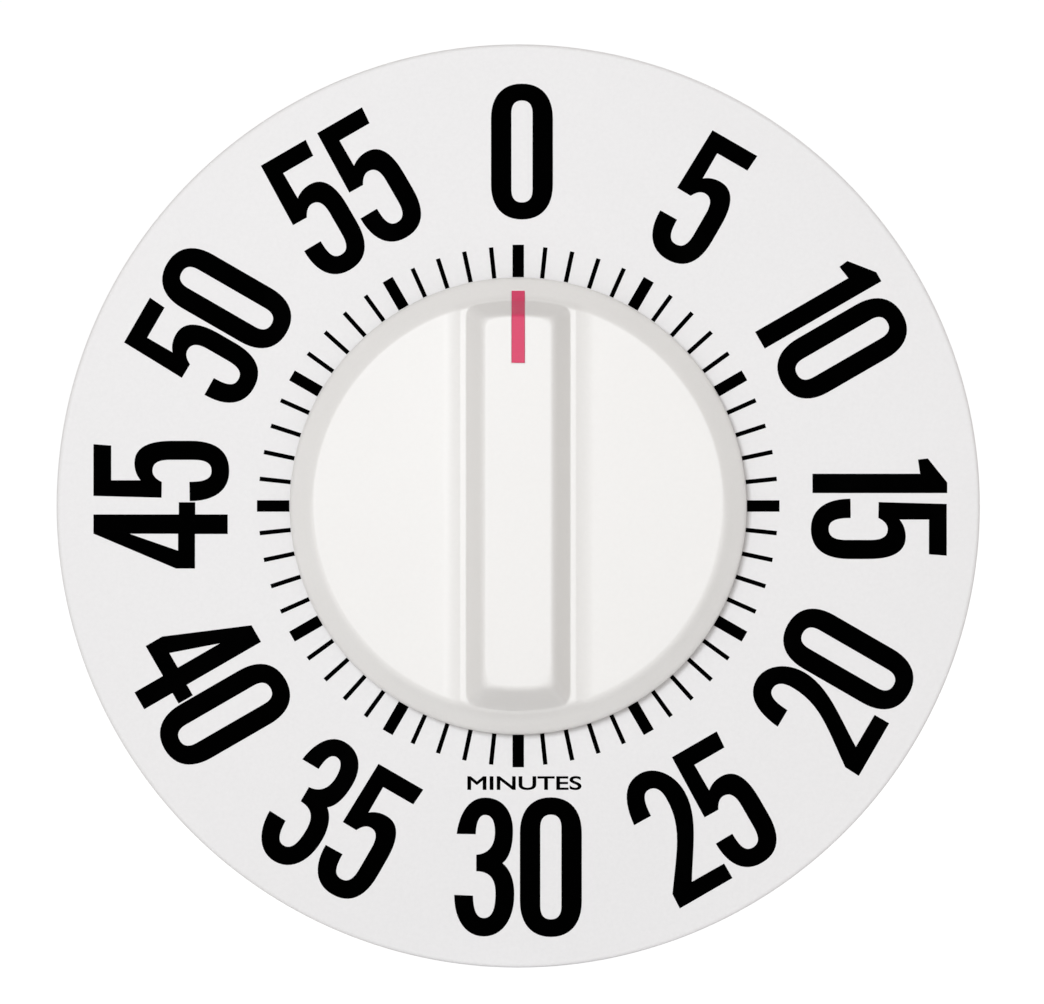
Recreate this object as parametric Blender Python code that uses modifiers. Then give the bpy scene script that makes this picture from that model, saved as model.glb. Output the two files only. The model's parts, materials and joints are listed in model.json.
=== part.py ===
"""Sixty-minute kitchen timer: a large dial, a grip knob, and the spring-driven movement behind them.

Everything is laid out on a bench: the timer lies on its back, x to the right, y towards the
dial's zero, z up from the rear face towards the viewer. The empty "bench" then stands it up,
so that the dial faces -Y, its zero is at +Z, and the rear face lies on the plane y = 0.
"""

import math

import bmesh
import bpy
from mathutils import Vector

MM = 0.001
GAP = 0.3 * MM  # between pieces that touch on the real timer

# Housing
DIAL_R = 89.0 * MM
DIAL_FRONT = 38.0 * MM
DIAL_BACK = 35.5 * MM
RIM_BACK = 32.0 * MM
RIM_WALL = 2.0 * MM
CASE_R = 52.0 * MM
CASE_WALL = 2.0 * MM
CASE_TOP = DIAL_BACK - GAP
SCREW_CIRCLE = 43.0 * MM
MAGNET_R = 11.0 * MM
MAGNET_THICK = 4.0 * MM
MAGNETS = {
    "magnet_left": (-22.0 * MM, 28.0 * MM),
    "magnet_right": (22.0 * MM, 28.0 * MM),
    "magnet_bottom": (0.0, -24.0 * MM),
}

# Knob: a round skirt, a wide chamfer up to its face, and a grip bar whose ends slope on upwards
KNOB_BASE = 38.6 * MM
KNOB_SHOULDER = 43.2 * MM
KNOB_FACE = 47.5 * MM
KNOB_TOP = 56.0 * MM
KNOB_R = 43.9 * MM
KNOB_FACE_R = 39.6 * MM
KNOB_TOP_R = 35.4 * MM
KNOB_WALL = 2.6 * MM
KNOB_FLARE = 0.7 * MM  # the face rises by this much to the bar's foot
FLARE_INNER = 11.2 * MM
FLARE_OUTER = 14.6 * MM
BAR_HALF_BASE = 9.9 * MM
BAR_HALF_TOP = 6.85 * MM
POINTER_WIDTH = 2.65 * MM
POINTER_INNER = 27.3 * MM
POINTER_OUTER = 41.4 * MM

# Stand
WIRE_R = 1.2 * MM
STAND_HALF = 32.0 * MM
STAND_PIVOT = 12.0 * MM
STAND_FOOT = -80.0 * MM
STAND_Z = 2.0 * MM
GROOVE_HALF = 1.55 * MM
GROOVE_DEPTH = 3.6 * MM

# Movement frame
PLATE_THICK = 1.2 * MM
BACK_PLATE = 14.0 * MM
FRONT_PLATE = 32.3 * MM
PILLARS = [(-30, 20), (28, 19), (24, -29), (-36, -24)]
MOUNT_SCREWS = [(-27, 1), (27, 1), (18, -29)]
ARBOR_R = 1.2 * MM
PIVOT_R = 0.6 * MM
MAIN_R = 3.0 * MM
SPRING_LOW = 20.5 * MM
SPRING_HIGH = 27.5 * MM

# Gear train: (teeth, module) of each wheel and the ten-leaf pinion that it drives
LEAVES = 10
GREAT = (72, 0.6 * MM)
SECOND = (60, 0.5 * MM)
THIRD = (60, 0.4 * MM)
ESCAPE_TEETH = 20
ESCAPE_R = 7.5 * MM
PRESSURE = math.radians(20)
BACKLASH = 0.2  # of the module, shared by a tooth and the leaf it meets


def distance(wheel):
    """Centre distance between a wheel and its pinion."""
    teeth, module = wheel
    return module * (teeth + LEAVES) / 2


def step(start, length, degrees):
    """The point at this length and direction from start."""
    turn = math.radians(degrees)
    return (start[0] + length * math.cos(turn), start[1] + length * math.sin(turn))


SECOND_TURN = 200
THIRD_TURN = 285
ESCAPE_TURN = 5
ANCHOR_TURN = -10
PALLET_TURN = 40.5  # two and a quarter tooth pitches each side of the line to the anchor
MAIN_AT = (0.0, 0.0)
SECOND_AT = step(MAIN_AT, distance(GREAT), SECOND_TURN)
THIRD_AT = step(SECOND_AT, distance(SECOND), THIRD_TURN)
ESCAPE_AT = step(THIRD_AT, distance(THIRD), ESCAPE_TURN)
ANCHOR_REACH = ESCAPE_R / math.cos(math.radians(PALLET_TURN))
ANCHOR_AT = step(ESCAPE_AT, ANCHOR_REACH, ANCHOR_TURN)

# Strike work
CAM_R = 9.0 * MM
CAM_LOW = 16.0 * MM
CAM_HIGH = 17.0 * MM
LEVER_AT = (-13.0 * MM, 10.5 * MM)
HAMMER_AT = (-30.0 * MM, 9.0 * MM)
HAMMER_HEAD = (-29.0 * MM, -7.7 * MM)
STAR_R = 6.0 * MM
BELL_R = 26.0 * MM
CLICK_BEARING = 62
CLICK_AT = step(MAIN_AT, 13.5 * MM, CLICK_BEARING)
CLICK_TURN = 28.0  # the ratchet tooth that the click's nose meets

for old in list(bpy.data.objects):
    bpy.data.objects.remove(old)
timer = bpy.data.collections.new("kitchen_timer")
cutters = bpy.data.collections.new("cutters")
for group in (timer, cutters):
    bpy.context.scene.collection.children.link(group)
bench = bpy.data.objects.new("bench", None)
bench.rotation_euler = (math.pi / 2, 0, 0)
timer.objects.link(bench)


# ---------------------------------------------------------------- materials


def finish(name, colour, roughness, metallic=0.0):
    material = bpy.data.materials.new(name)
    material.use_nodes = True
    shader = material.node_tree.nodes["Principled BSDF"]
    shader.inputs["Base Color"].default_value = (*colour, 1.0)
    shader.inputs["Roughness"].default_value = roughness
    shader.inputs["Metallic"].default_value = metallic
    return material


WHITE_DIAL = finish("white_dial", (0.83, 0.83, 0.82), 0.55)
WHITE_KNOB = finish("white_knob", (0.86, 0.86, 0.83), 0.4)
WHITE_CASE = finish("white_case", (0.80, 0.80, 0.79), 0.5)
RED = finish("red_plastic", (0.72, 0.09, 0.17), 0.4)
STEEL = finish("plated_steel", (0.66, 0.66, 0.68), 0.35, 1.0)
SPRING_STEEL = finish("blued_steel", (0.20, 0.22, 0.28), 0.35, 1.0)
BRASS = finish("brass", (0.78, 0.60, 0.28), 0.35, 1.0)
FERRITE = finish("ferrite", (0.06, 0.06, 0.065), 0.7)
VINYL = finish("vinyl", (0.70, 0.70, 0.69), 0.6)


# ---------------------------------------------------------------- shape helpers


def place(obj, at, height=0.0, hidden=False):
    """Puts the object on the bench, as a part or as a cutter."""
    obj.parent = bench
    obj.location = (at[0], at[1], height)
    (cutters if hidden else timer).objects.link(obj)
    obj.hide_render = hidden
    obj.display_type = "WIRE" if hidden else "TEXTURED"
    return obj


def dress(obj, material, crease=35):
    """Gives a part its material and smooth shading with sharp edges."""
    obj.data.materials.clear()
    obj.data.materials.append(material)
    if obj.type == "MESH":
        obj.data.shade_smooth()
        obj.data.set_sharp_from_angle(angle=math.radians(crease))
    return obj


def mesh_object(name, bm):
    mesh = bpy.data.meshes.new(name)
    bm.to_mesh(mesh)
    bm.free()
    return bpy.data.objects.new(name, mesh)


def box(name, low, high, hidden=True):
    """A box between two corners."""
    bm = bmesh.new()
    bmesh.ops.create_cube(bm, size=1.0)
    low, high = Vector(low), Vector(high)
    bmesh.ops.scale(bm, vec=high - low, verts=bm.verts)
    bmesh.ops.translate(bm, vec=(high + low) / 2, verts=bm.verts)
    return place(mesh_object(name, bm), MAIN_AT, hidden=hidden)


def rod(name, radius, low, high, at=MAIN_AT, sides=24, hidden=True):
    """A plain cylinder along z, from one height to another."""
    bm = bmesh.new()
    bmesh.ops.create_cone(
        bm, cap_ends=True, segments=sides, radius1=radius, radius2=radius, depth=high - low
    )
    bmesh.ops.translate(bm, vec=(0, 0, (high + low) / 2), verts=bm.verts)
    return place(mesh_object(name, bm), at, hidden=hidden)


def turned(name, profile, steps=24, at=MAIN_AT, closed=False, hidden=False):
    """A turned shape: profile points (radius, height), running down the outer side."""
    mesh = bpy.data.meshes.new(name)
    count = len(profile)
    edges = [(i, i + 1) for i in range(count - 1)]
    if closed:
        edges.append((count - 1, 0))
    mesh.from_pydata([(r, 0, z) for r, z in profile], edges, [])
    obj = place(bpy.data.objects.new(name, mesh), at, hidden=hidden)
    lathe = obj.modifiers.new("lathe", "SCREW")
    lathe.steps = steps
    lathe.render_steps = steps
    lathe.use_merge_vertices = True
    lathe.merge_threshold = 0.00001
    return obj


def plate(name, outlines, low, high, at=MAIN_AT, turn=0.0, hidden=False):
    """A flat piece: closed outlines (the first outside, the rest holes) extruded along z."""
    curve = bpy.data.curves.new(name, "CURVE")
    curve.dimensions = "2D"
    curve.fill_mode = "BOTH"
    curve.extrude = (high - low) / 2
    for points in outlines:
        spline = curve.splines.new("POLY")
        spline.points.add(len(points) - 1)
        for point, (x, y) in zip(spline.points, points):
            point.co = (x, y, 0, 1)
        spline.use_cyclic_u = True
    obj = place(bpy.data.objects.new(name, curve), at, (high + low) / 2, hidden)
    obj.rotation_euler = (0, 0, turn)
    return obj


def wire(name, points, radius, at=MAIN_AT, height=0.0, sides=2):
    """A round wire along a list of points."""
    curve = bpy.data.curves.new(name, "CURVE")
    curve.dimensions = "3D"
    curve.bevel_depth = radius
    curve.bevel_resolution = sides
    curve.use_fill_caps = True
    spline = curve.splines.new("POLY")
    spline.points.add(len(points) - 1)
    for point, co in zip(spline.points, points):
        point.co = (*co, 1)
    return place(bpy.data.objects.new(name, curve), at, height)


def as_mesh(obj):
    """The object as a closed mesh, so that a Boolean can use it."""
    bpy.context.view_layer.update()
    evaluated = obj.evaluated_get(bpy.context.evaluated_depsgraph_get())
    mesh = bpy.data.meshes.new_from_object(evaluated)
    bm = bmesh.new()
    bm.from_mesh(mesh)
    bmesh.ops.remove_doubles(bm, verts=bm.verts, dist=0.000002)
    bmesh.ops.recalc_face_normals(bm, faces=bm.faces)
    bm.to_mesh(mesh)
    bm.free()
    name, home, hidden = obj.name, obj.matrix_world.copy(), obj.hide_render
    bpy.data.objects.remove(obj)
    made = bpy.data.objects.new(name, mesh)
    place(made, MAIN_AT, hidden=hidden)
    made.matrix_world = home
    return made


def combine(obj, others, operation):
    """Joins the others to the object, or cuts them out of it."""
    for other in others:
        change = obj.modifiers.new(other.name, "BOOLEAN")
        change.operation = operation
        change.object = other
    return obj


def cut(obj, others):
    return combine(obj, others, "DIFFERENCE")


def join(obj, others):
    """Joins helper shapes to the object and leaves them hidden."""
    for other in others:
        other.hide_render = True
        other.display_type = "WIRE"
    return combine(obj, others, "UNION")


def circle(radius, sides=24, centre=(0.0, 0.0)):
    return [step(centre, radius, 360 * i / sides) for i in range(sides)]


def arc(centre, radius, first, last, count):
    """Points along an arc, both ends included, in degrees."""
    return [
        step(centre, radius, first + (last - first) * i / (count - 1)) for i in range(count)
    ]


def rounded(corners, radius, count=6):
    """The outline of a tight band round discs at the corners, which run anticlockwise."""
    points = []
    for i, corner in enumerate(corners):
        before, after = Vector(corners[i - 1]), Vector(corners[(i + 1) % len(corners)])
        here = Vector(corner)
        first = math.degrees(math.atan2(here.y - before.y, here.x - before.x)) - 90
        last = math.degrees(math.atan2(after.y - here.y, after.x - here.x)) - 90
        while last < first:
            last += 360
        points += arc(corner, radius, first, last, count)
    return points


def link(start, end, radius_start, radius_end, count=7):
    """The outline of a bar between two points, round at both ends."""
    way = Vector(end) - Vector(start)
    facing = math.degrees(math.atan2(way.y, way.x))
    lean = math.degrees(math.asin((radius_start - radius_end) / way.length))
    side = 90 - lean
    outline = arc(start, radius_start, facing + side, facing + 360 - side, count)
    return outline + arc(end, radius_end, facing - side, facing + side, count)


def relative(point, origin):
    return (point[0] - origin[0], point[1] - origin[1])


# ---------------------------------------------------------------- housing


def dial_plate():
    """A dished disc with a return rim, a ring that centres the case, and screw bosses."""
    edge = 0.6 * MM
    hole = 5.0 * MM
    ring_out, ring_in, ring_back = 49.6 * MM, 48.2 * MM, 33.5 * MM
    profile = [
        (hole, DIAL_FRONT),
        (DIAL_R - edge, DIAL_FRONT),
        (DIAL_R, DIAL_FRONT - edge),
        (DIAL_R, RIM_BACK),
        (DIAL_R - RIM_WALL, RIM_BACK),
        (DIAL_R - RIM_WALL, DIAL_BACK),
        (ring_out, DIAL_BACK),
        (ring_out, ring_back),
        (ring_in, ring_back),
        (ring_in, DIAL_BACK),
        (hole, DIAL_BACK),
    ]
    dial = turned("dial_plate", profile, steps=60, closed=True)
    bosses = []
    holes = []
    for i in range(4):
        at = step(MAIN_AT, SCREW_CIRCLE, 90 * i)
        bosses.append(rod(f"case_boss_{i}", 3.8 * MM, 30.3 * MM, 36.5 * MM, at, 12))
        holes.append(rod(f"case_boss_hole_{i}", 1.8 * MM, 28.0 * MM, 35.2 * MM, at, 8))
    for i, (x, y) in enumerate(MOUNT_SCREWS):
        at = (x * MM, y * MM)
        bosses.append(rod(f"mount_boss_{i}", 3.0 * MM, 33.8 * MM, 36.5 * MM, at, 12))
        holes.append(rod(f"mount_boss_hole_{i}", 1.5 * MM, 32.0 * MM, 36.7 * MM, at, 8))
    return dress(cut(join(dial, bosses), holes), WHITE_DIAL)


def case_body():
    """The cup, with a rounded back edge."""
    round_r = 3.0 * MM
    back_edge = [
        (CASE_R - round_r * (1 - math.cos(t)), round_r * (1 - math.sin(t)))
        for t in (0, math.pi / 6, math.pi / 3, math.pi / 2)
    ]
    inside = CASE_R - CASE_WALL
    profile = [(0, CASE_WALL), (inside - MM, CASE_WALL), (inside, CASE_WALL + MM)]
    profile += [(inside, CASE_TOP), (CASE_R, CASE_TOP), *back_edge, (0, 0)]
    return turned("rear_case", profile, steps=48)


def case_additions():
    """Screw columns, magnet cups, stand channels and the stand's pivot blocks."""
    base = 1.0 * MM
    shapes = []
    for i in range(4):
        at = step(MAIN_AT, SCREW_CIRCLE, 90 * i)
        shapes.append(rod(f"column_{i}", 4.2 * MM, base, 30.0 * MM, at, 12))
    for name, at in MAGNETS.items():
        shapes.append(rod(f"{name}_cup", 13.1 * MM, base, 6.1 * MM, at, 24))
    shapes.append(rod("bell_boss", 4.6 * MM, base, 4.0 * MM, MAIN_AT, 16))
    for side in (-1, 1):
        shapes.append(channel(side, base))
        inner, outer = sorted((side * 24.6 * MM, side * 31.0 * MM))
        low, high = (inner, 8.2 * MM, base), (outer, 15.8 * MM, 5.2 * MM)
        shapes.append(box(f"pivot_block_{side}", low, high))
    return shapes


def channel(side, base):
    """The raised floor that a stand groove runs in, down to the case's round wall."""
    half = GROOVE_HALF + 1.8 * MM
    end_r = CASE_R - MM
    ways = [side * STAND_HALF - half, side * STAND_HALF + half]
    outline = [(x, -math.sqrt(end_r**2 - x**2)) for x in ways]
    outline += [(x, 17.0 * MM) for x in reversed(ways)]
    return as_mesh(plate(f"channel_{side}", [outline], base, 5.4 * MM, hidden=True))


def case_cuts():
    """Screw holes, magnet pockets, stand grooves, pivot holes and sound slots."""
    below = -1.0 * MM
    shapes = []
    for i in range(4):
        at = step(MAIN_AT, SCREW_CIRCLE, 90 * i)
        shapes.append(rod(f"counterbore_{i}", 3.5 * MM, below, 3.0 * MM, at, 16))
        shapes.append(rod(f"screw_hole_{i}", 1.9 * MM, 2.0 * MM, 32.0 * MM, at, 8))
    for name, at in MAGNETS.items():
        depth = MAGNET_THICK + GAP
        shapes.append(rod(f"{name}_pocket", MAGNET_R + GAP, below, depth, at, 24))
    for side in (-1, 1):
        x = side * STAND_HALF
        low = (x - GROOVE_HALF, -60.0 * MM, below)
        high = (x + GROOVE_HALF, STAND_PIVOT + 2.2 * MM, GROOVE_DEPTH)
        shapes.append(box(f"groove_{side}", low, high))
        inner, outer = sorted((side * 25.8 * MM, side * STAND_HALF))
        reach = WIRE_R + GAP
        low = (inner, STAND_PIVOT - reach, below)
        high = (outer, STAND_PIVOT + reach, STAND_Z + reach)
        shapes.append(box(f"pivot_slot_{side}", low, high))
    for i in range(5):
        x = (i - 2) * 4.0 * MM
        low, high = (x - MM, 12.0 * MM, below), (x + MM, 24.0 * MM, 5.0 * MM)
        shapes.append(box(f"back_slot_{i}", low, high))
    for i in range(8):
        degrees = (i // 4) * 180 + (i % 4) * 8 + 33
        slot = box(f"side_slot_{i}", (46 * MM, -MM, 12 * MM), (56 * MM, MM, 26 * MM))
        slot.rotation_euler = (0, 0, math.radians(degrees))
        shapes.append(slot)
    return shapes


def pan_screw(name, at, head_low, head_r, head_thick, shank_r, tip, forward=True):
    """A pan-head screw. Its head is at the rear, with a cross recess, and its tip in front."""
    low, top = head_low, head_low + head_thick
    profile = [
        (0, tip),
        (shank_r * 0.6, tip),
        (shank_r, tip - MM),
        (shank_r, top),
        (head_r, top),
        (head_r, low + 0.4 * head_thick),
        (head_r * 0.7, low),
        (0, low),
    ]
    screw = turned(name, profile, steps=12, at=at)
    arm, half, depth = head_r * 0.55, head_r * 0.13, head_thick * 0.5
    bars = []
    for turn, (x, y) in enumerate(((arm, half), (half, arm))):
        bar = box(f"{name}_recess_{turn}", (-x, -y, low - MM), (x, y, low + depth))
        bar.location = (at[0], at[1], 0)
        bars.append(bar)
    return dress(cut(screw, bars), STEEL)


def housing():
    dial_plate()
    case = cut(join(case_body(), case_additions()), case_cuts())
    dress(case, WHITE_CASE)
    for i, side in enumerate(("right", "top", "left", "bottom")):
        at = step(MAIN_AT, SCREW_CIRCLE, 90 * i)
        pan_screw(f"case_screw_{side}", at, 0.6 * MM, 3.1 * MM, 2.1 * MM, 1.5 * MM, 34.8 * MM)
    for name, at in MAGNETS.items():
        edge = 0.4 * MM
        profile = [
            (0, MAGNET_THICK),
            (MAGNET_R, MAGNET_THICK),
            (MAGNET_R, edge),
            (MAGNET_R - edge, 0),
            (0, 0),
        ]
        dress(turned(name, profile, steps=24, at=at), FERRITE)


# ---------------------------------------------------------------- knob


def side_cut(side):
    """The flat beside the grip bar: it flares up to a ledge, from which the bar's slope rises."""
    above = KNOB_TOP + 4 * MM
    slope = (BAR_HALF_BASE - BAR_HALF_TOP) / (KNOB_TOP - KNOB_FACE - KNOB_FLARE)
    top_half = BAR_HALF_TOP - slope * (above - KNOB_TOP)
    ledge = KNOB_FACE + KNOB_FLARE
    outline = [
        (BAR_HALF_BASE, ledge),
        (FLARE_INNER, ledge),
        (FLARE_OUTER, KNOB_FACE),
        (60 * MM, KNOB_FACE),
        (60 * MM, above),
        (top_half, above),
    ]
    outline = [(side * x, z) for x, z in outline]
    shape = plate(f"knob_side_{side}", [outline], -60 * MM, 60 * MM, hidden=True)
    shape.rotation_euler = (math.pi / 2, 0, 0)
    shape.location = (0, 0, 0)
    return as_mesh(shape)


def lifted(path, lift):
    """A path moved off the surface it follows, mitred at its bends."""
    ways = [Vector(end) - Vector(start) for start, end in zip(path, path[1:])]
    normals = [Vector((way.y, -way.x)).normalized() for way in ways]
    points = []
    for i, here in enumerate(path):
        before, after = normals[max(i - 1, 0)], normals[min(i, len(normals) - 1)]
        mitre = before + after
        points.append(tuple(Vector(here) + mitre * lift / mitre.dot(before)))
    return points


def pointer_bar(name, half, low, high, spare, hidden):
    """A strip over the bar's top, down its end and onto the chamfer, between two lifts."""
    inner, outer = POINTER_INNER - spare, POINTER_OUTER + spare
    path = [
        (outer, KNOB_FACE - (outer - KNOB_FACE_R)),
        (KNOB_FACE_R, KNOB_FACE),
        (KNOB_TOP_R, KNOB_TOP),
        (inner, KNOB_TOP),
    ]
    outline = lifted(path, high) + lifted(path, low)[::-1]
    shape = plate(name, [outline], -half, half, hidden=hidden)
    shape.rotation_euler = (math.pi / 2, 0, math.pi / 2)
    shape.location = (0, 0, 0)
    return as_mesh(shape)


def knob():
    """A hollow disc with a grip bar, a hub with a D-shaped bore, and the pointer's groove."""
    profile = [(0, KNOB_TOP), (KNOB_TOP_R, KNOB_TOP), (KNOB_FACE_R, KNOB_FACE)]
    profile += [(KNOB_R, KNOB_SHOULDER), (KNOB_R, KNOB_BASE), (0, KNOB_BASE)]
    body = turned("knob", profile, steps=60)
    ceiling = KNOB_FACE - KNOB_WALL
    floor = KNOB_BASE - MM
    inside = KNOB_R - KNOB_WALL
    haunch = 2.8 * MM
    hollow = [(0, ceiling), (inside - haunch, ceiling), (inside, ceiling - haunch)]
    hollow += [(inside, floor), (0, floor)]
    bar_roof = KNOB_TOP - KNOB_WALL
    bar_low = (-4.3 * MM, -32.5 * MM, ceiling - MM)
    bar_high = (4.3 * MM, 32.5 * MM, bar_roof)
    cuts = [
        side_cut(-1),
        side_cut(1),
        turned("knob_hollow", hollow, steps=36, hidden=True),
        box("bar_hollow", bar_low, bar_high),
    ]
    cut(body, cuts)
    join(body, [rod("hub", 5.4 * MM, 39.4 * MM, bar_roof + MM, MAIN_AT, 24)])
    bore = cut(
        rod("hub_bore", MAIN_R, 37 * MM, 51.0 * MM, MAIN_AT, 24),
        [box("hub_flat", (1.9 * MM, -5 * MM, 36 * MM), (5 * MM, 5 * MM, 52 * MM))],
    )
    half = POINTER_WIDTH / 2
    groove = pointer_bar("pointer_groove", half + GAP, -1.2 * MM, 1.5 * MM, GAP, True)
    cut(body, [bore, groove])
    dress(body, WHITE_KNOB)
    inlay = pointer_bar("pointer_inlay", half, -0.8 * MM, -0.02 * MM, 0.0, False)
    dress(inlay, RED)
    ring = arc((0, 0), 6.4 * MM, 20, 340, 17)
    clip = wire("knob_clip", [(x, y, 0) for x, y in ring], 0.6 * MM, height=41.5 * MM, sides=1)
    dress(clip, SPRING_STEEL)


# ---------------------------------------------------------------- stand


def stand():
    """A wire loop that lies in grooves in the case's back and swings out from its top ends."""
    tight, easy = 2.0 * MM, 4.0 * MM
    inner = 27.0 * MM
    foot = STAND_FOOT - STAND_PIVOT
    half = [(inner, 0.0)]
    half += arc((STAND_HALF - tight, -tight), tight, 90, 0, 5)
    half += arc((STAND_HALF - easy, foot + easy), easy, 0, -90, 6)
    right = [(x, y, 0) for x, y in half]
    left = [(-x, y, 0) for x, y in reversed(half)]
    at = (0.0, STAND_PIVOT)
    dress(wire("stand_wire", right + left, WIRE_R, at, STAND_Z), STEEL)
    inside, outside, length = WIRE_R + GAP, 1.95 * MM, 20 * MM
    profile = [(outside, length), (outside, -length), (inside, -length), (inside, length)]
    sleeve = turned("stand_sleeve", profile, steps=20, closed=True)
    sleeve.location = (0, STAND_FOOT, STAND_Z)
    sleeve.rotation_euler = (0, math.pi / 2, 0)
    dress(sleeve, VINYL)


# ---------------------------------------------------------------- movement frame


def frame_plate(name, low, holes):
    corners = [(-36, -24), (24, -29), (28, 19), (-30, 20)]
    outline = rounded([(x * MM, y * MM) for x, y in corners], 5 * MM)
    openings = [circle(radius, 8, at) for radius, at in holes]
    return dress(plate(name, [outline, *openings], low, low + PLATE_THICK), BRASS)


def movement_frame():
    fine = PIVOT_R + GAP
    common = [(fine, at) for at in (SECOND_AT, THIRD_AT, ESCAPE_AT, ANCHOR_AT)]
    common += [(1.2 * MM + GAP, (x * MM, y * MM)) for x, y in PILLARS]
    mounts = [(1.2 * MM + GAP, (x * MM, y * MM)) for x, y in MOUNT_SCREWS]
    front = [(2.7 * MM + GAP, MAIN_AT), (fine, HAMMER_AT)]
    back = [(2.0 * MM + GAP, MAIN_AT), (ARBOR_R + GAP, HAMMER_AT)]
    back.append((0.8 * MM + GAP, LEVER_AT))
    frame_plate("front_plate", FRONT_PLATE, common + mounts + front)
    frame_plate("back_plate", BACK_PLATE, common + back)
    low, high = BACK_PLATE + PLATE_THICK + GAP, FRONT_PLATE - GAP
    for i, (x, y) in enumerate(PILLARS, 1):
        at = (x * MM, y * MM)
        body, stud = 2.2 * MM, 1.2 * MM
        profile = [(0, high + 2 * MM), (stud, high + 2 * MM), (stud, high), (body, high)]
        profile += [(body, low), (stud, low), (stud, low - 3.6 * MM), (0, low - 3.6 * MM)]
        dress(turned(f"pillar_{i}", profile, steps=10, at=at), STEEL)
        nut = [circle(2.7 * MM, 6), circle(stud + GAP, 8)]
        dress(plate(f"pillar_nut_{i}", nut, 12.1 * MM, BACK_PLATE - GAP, at), STEEL)
    for i, (x, y) in enumerate(MOUNT_SCREWS, 1):
        head = FRONT_PLATE - GAP - 1.6 * MM
        at = (x * MM, y * MM)
        pan_screw(f"movement_screw_{i}", at, head, 2.5 * MM, 1.6 * MM, 1.2 * MM, 36.3 * MM)


# ---------------------------------------------------------------- gears


def involute(angle):
    return math.tan(angle) - angle


def half_tooth(radius, teeth, module):
    """Half a tooth's angle at a radius, in degrees; its flank is radial below the base circle."""
    pitch_r = teeth * module / 2
    base_r = pitch_r * math.cos(PRESSURE)
    lean = involute(math.acos(base_r / max(radius, base_r)))
    thinned = BACKLASH * module / 4 / pitch_r
    return math.degrees(math.pi / (2 * teeth) - thinned + involute(PRESSURE) - lean)


def gear(teeth, module, radii, turn):
    """The outline of a gear with a tooth centred on the direction turn, in degrees."""
    points = []
    for i in range(teeth):
        middle = turn + 360 * i / teeth
        rising = [(r, -half_tooth(r, teeth, module)) for r in radii]
        falling = [(r, -side) for r, side in reversed(rising)]
        points += [step((0, 0), r, middle + side) for r, side in rising + falling]
    return points


def wheel_outline(wheel, turn):
    """A wheel has short tips, so that they clear the ten-leaf pinion's undercut."""
    teeth, module = wheel
    pitch_r = teeth * module / 2
    return gear(teeth, module, [pitch_r - 1.25 * module, pitch_r + 0.6 * module], turn)


def pinion_outline(module, turn):
    """Leaves with a gap, not a leaf, centred on the direction turn."""
    pitch_r = LEAVES * module / 2
    base_r = pitch_r * math.cos(PRESSURE)
    tip_r = pitch_r + module
    radii = [pitch_r - 0.85 * module, base_r, pitch_r + 0.35 * module, tip_r]
    return gear(LEAVES, module, radii, turn + 180 / LEAVES)


def spokes(inner, outer, count, bar, turn=0.0, points=5):
    """Openings that leave this many spokes of width bar, the first in the direction turn."""
    openings = []
    for i in range(count):
        first, last = turn + 360 * i / count, turn + 360 * (i + 1) / count
        near = math.degrees(bar / 2 / inner)
        far = math.degrees(bar / 2 / outer)
        opening = arc((0, 0), outer, first + far, last - far, points)
        opening += arc((0, 0), inner, last - near, first + near, 3)
        openings.append(opening)
    return openings


def wheel(name, outline, bore, low, high, at, openings=()):
    shape = [outline, circle(bore, 10), *openings]
    return dress(plate(name, shape, low, high, at), BRASS)


def pinion(name, module, turn, low, high, at):
    """A steel arbor with its leaves cut in one piece, between fine pivots."""
    body_low, body_high = BACK_PLATE + PLATE_THICK + GAP, FRONT_PLATE - GAP
    profile = [(0, body_high + 1.6 * MM), (PIVOT_R, body_high + 1.6 * MM), (PIVOT_R, body_high)]
    profile += [(ARBOR_R, body_high), (ARBOR_R, body_low), (PIVOT_R, body_low)]
    profile += [(PIVOT_R, body_low - 1.6 * MM), (0, body_low - 1.6 * MM)]
    arbor = turned(name, profile, steps=8, at=at)
    if module:
        leaves = plate(f"{name}_leaves", [pinion_outline(module, turn)], low, high, at)
        join(arbor, [as_mesh(leaves)])
    return dress(arbor, STEEL)


def train():
    seat = ARBOR_R + GAP
    main_seat = MAIN_R + GAP
    great_low, great_high = 29.8 * MM, 31.0 * MM
    great_holes = spokes(7.5 * MM, 18.3 * MM, 4, 8.0 * MM, turn=CLICK_BEARING)
    great_holes.append(circle(1.0 * MM + GAP, 12, CLICK_AT))
    outline = wheel_outline(GREAT, SECOND_TURN)
    wheel("great_wheel", outline, main_seat, great_low, great_high, MAIN_AT, great_holes)
    low, high = 29.0 * MM, 31.6 * MM
    pinion("second_pinion", GREAT[1], SECOND_TURN + 180, low, high, SECOND_AT)
    low, high = 17.8 * MM, 18.8 * MM
    holes = spokes(4.0 * MM, 12.2 * MM, 4, 2.4 * MM)
    wheel("second_wheel", wheel_outline(SECOND, THIRD_TURN), seat, low, high, SECOND_AT, holes)
    low, high = 17.3 * MM, 19.4 * MM
    pinion("third_pinion", SECOND[1], THIRD_TURN + 180, low, high, THIRD_AT)
    low, high = 23.0 * MM, 23.8 * MM
    holes = spokes(3.6 * MM, 9.8 * MM, 4, 2.0 * MM)
    wheel("third_wheel", wheel_outline(THIRD, ESCAPE_TURN), seat, low, high, THIRD_AT, holes)
    low, high = 22.4 * MM, 24.4 * MM
    pinion("escape_pinion", THIRD[1], ESCAPE_TURN + 180, low, high, ESCAPE_AT)
    escape_wheel(seat)


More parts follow.
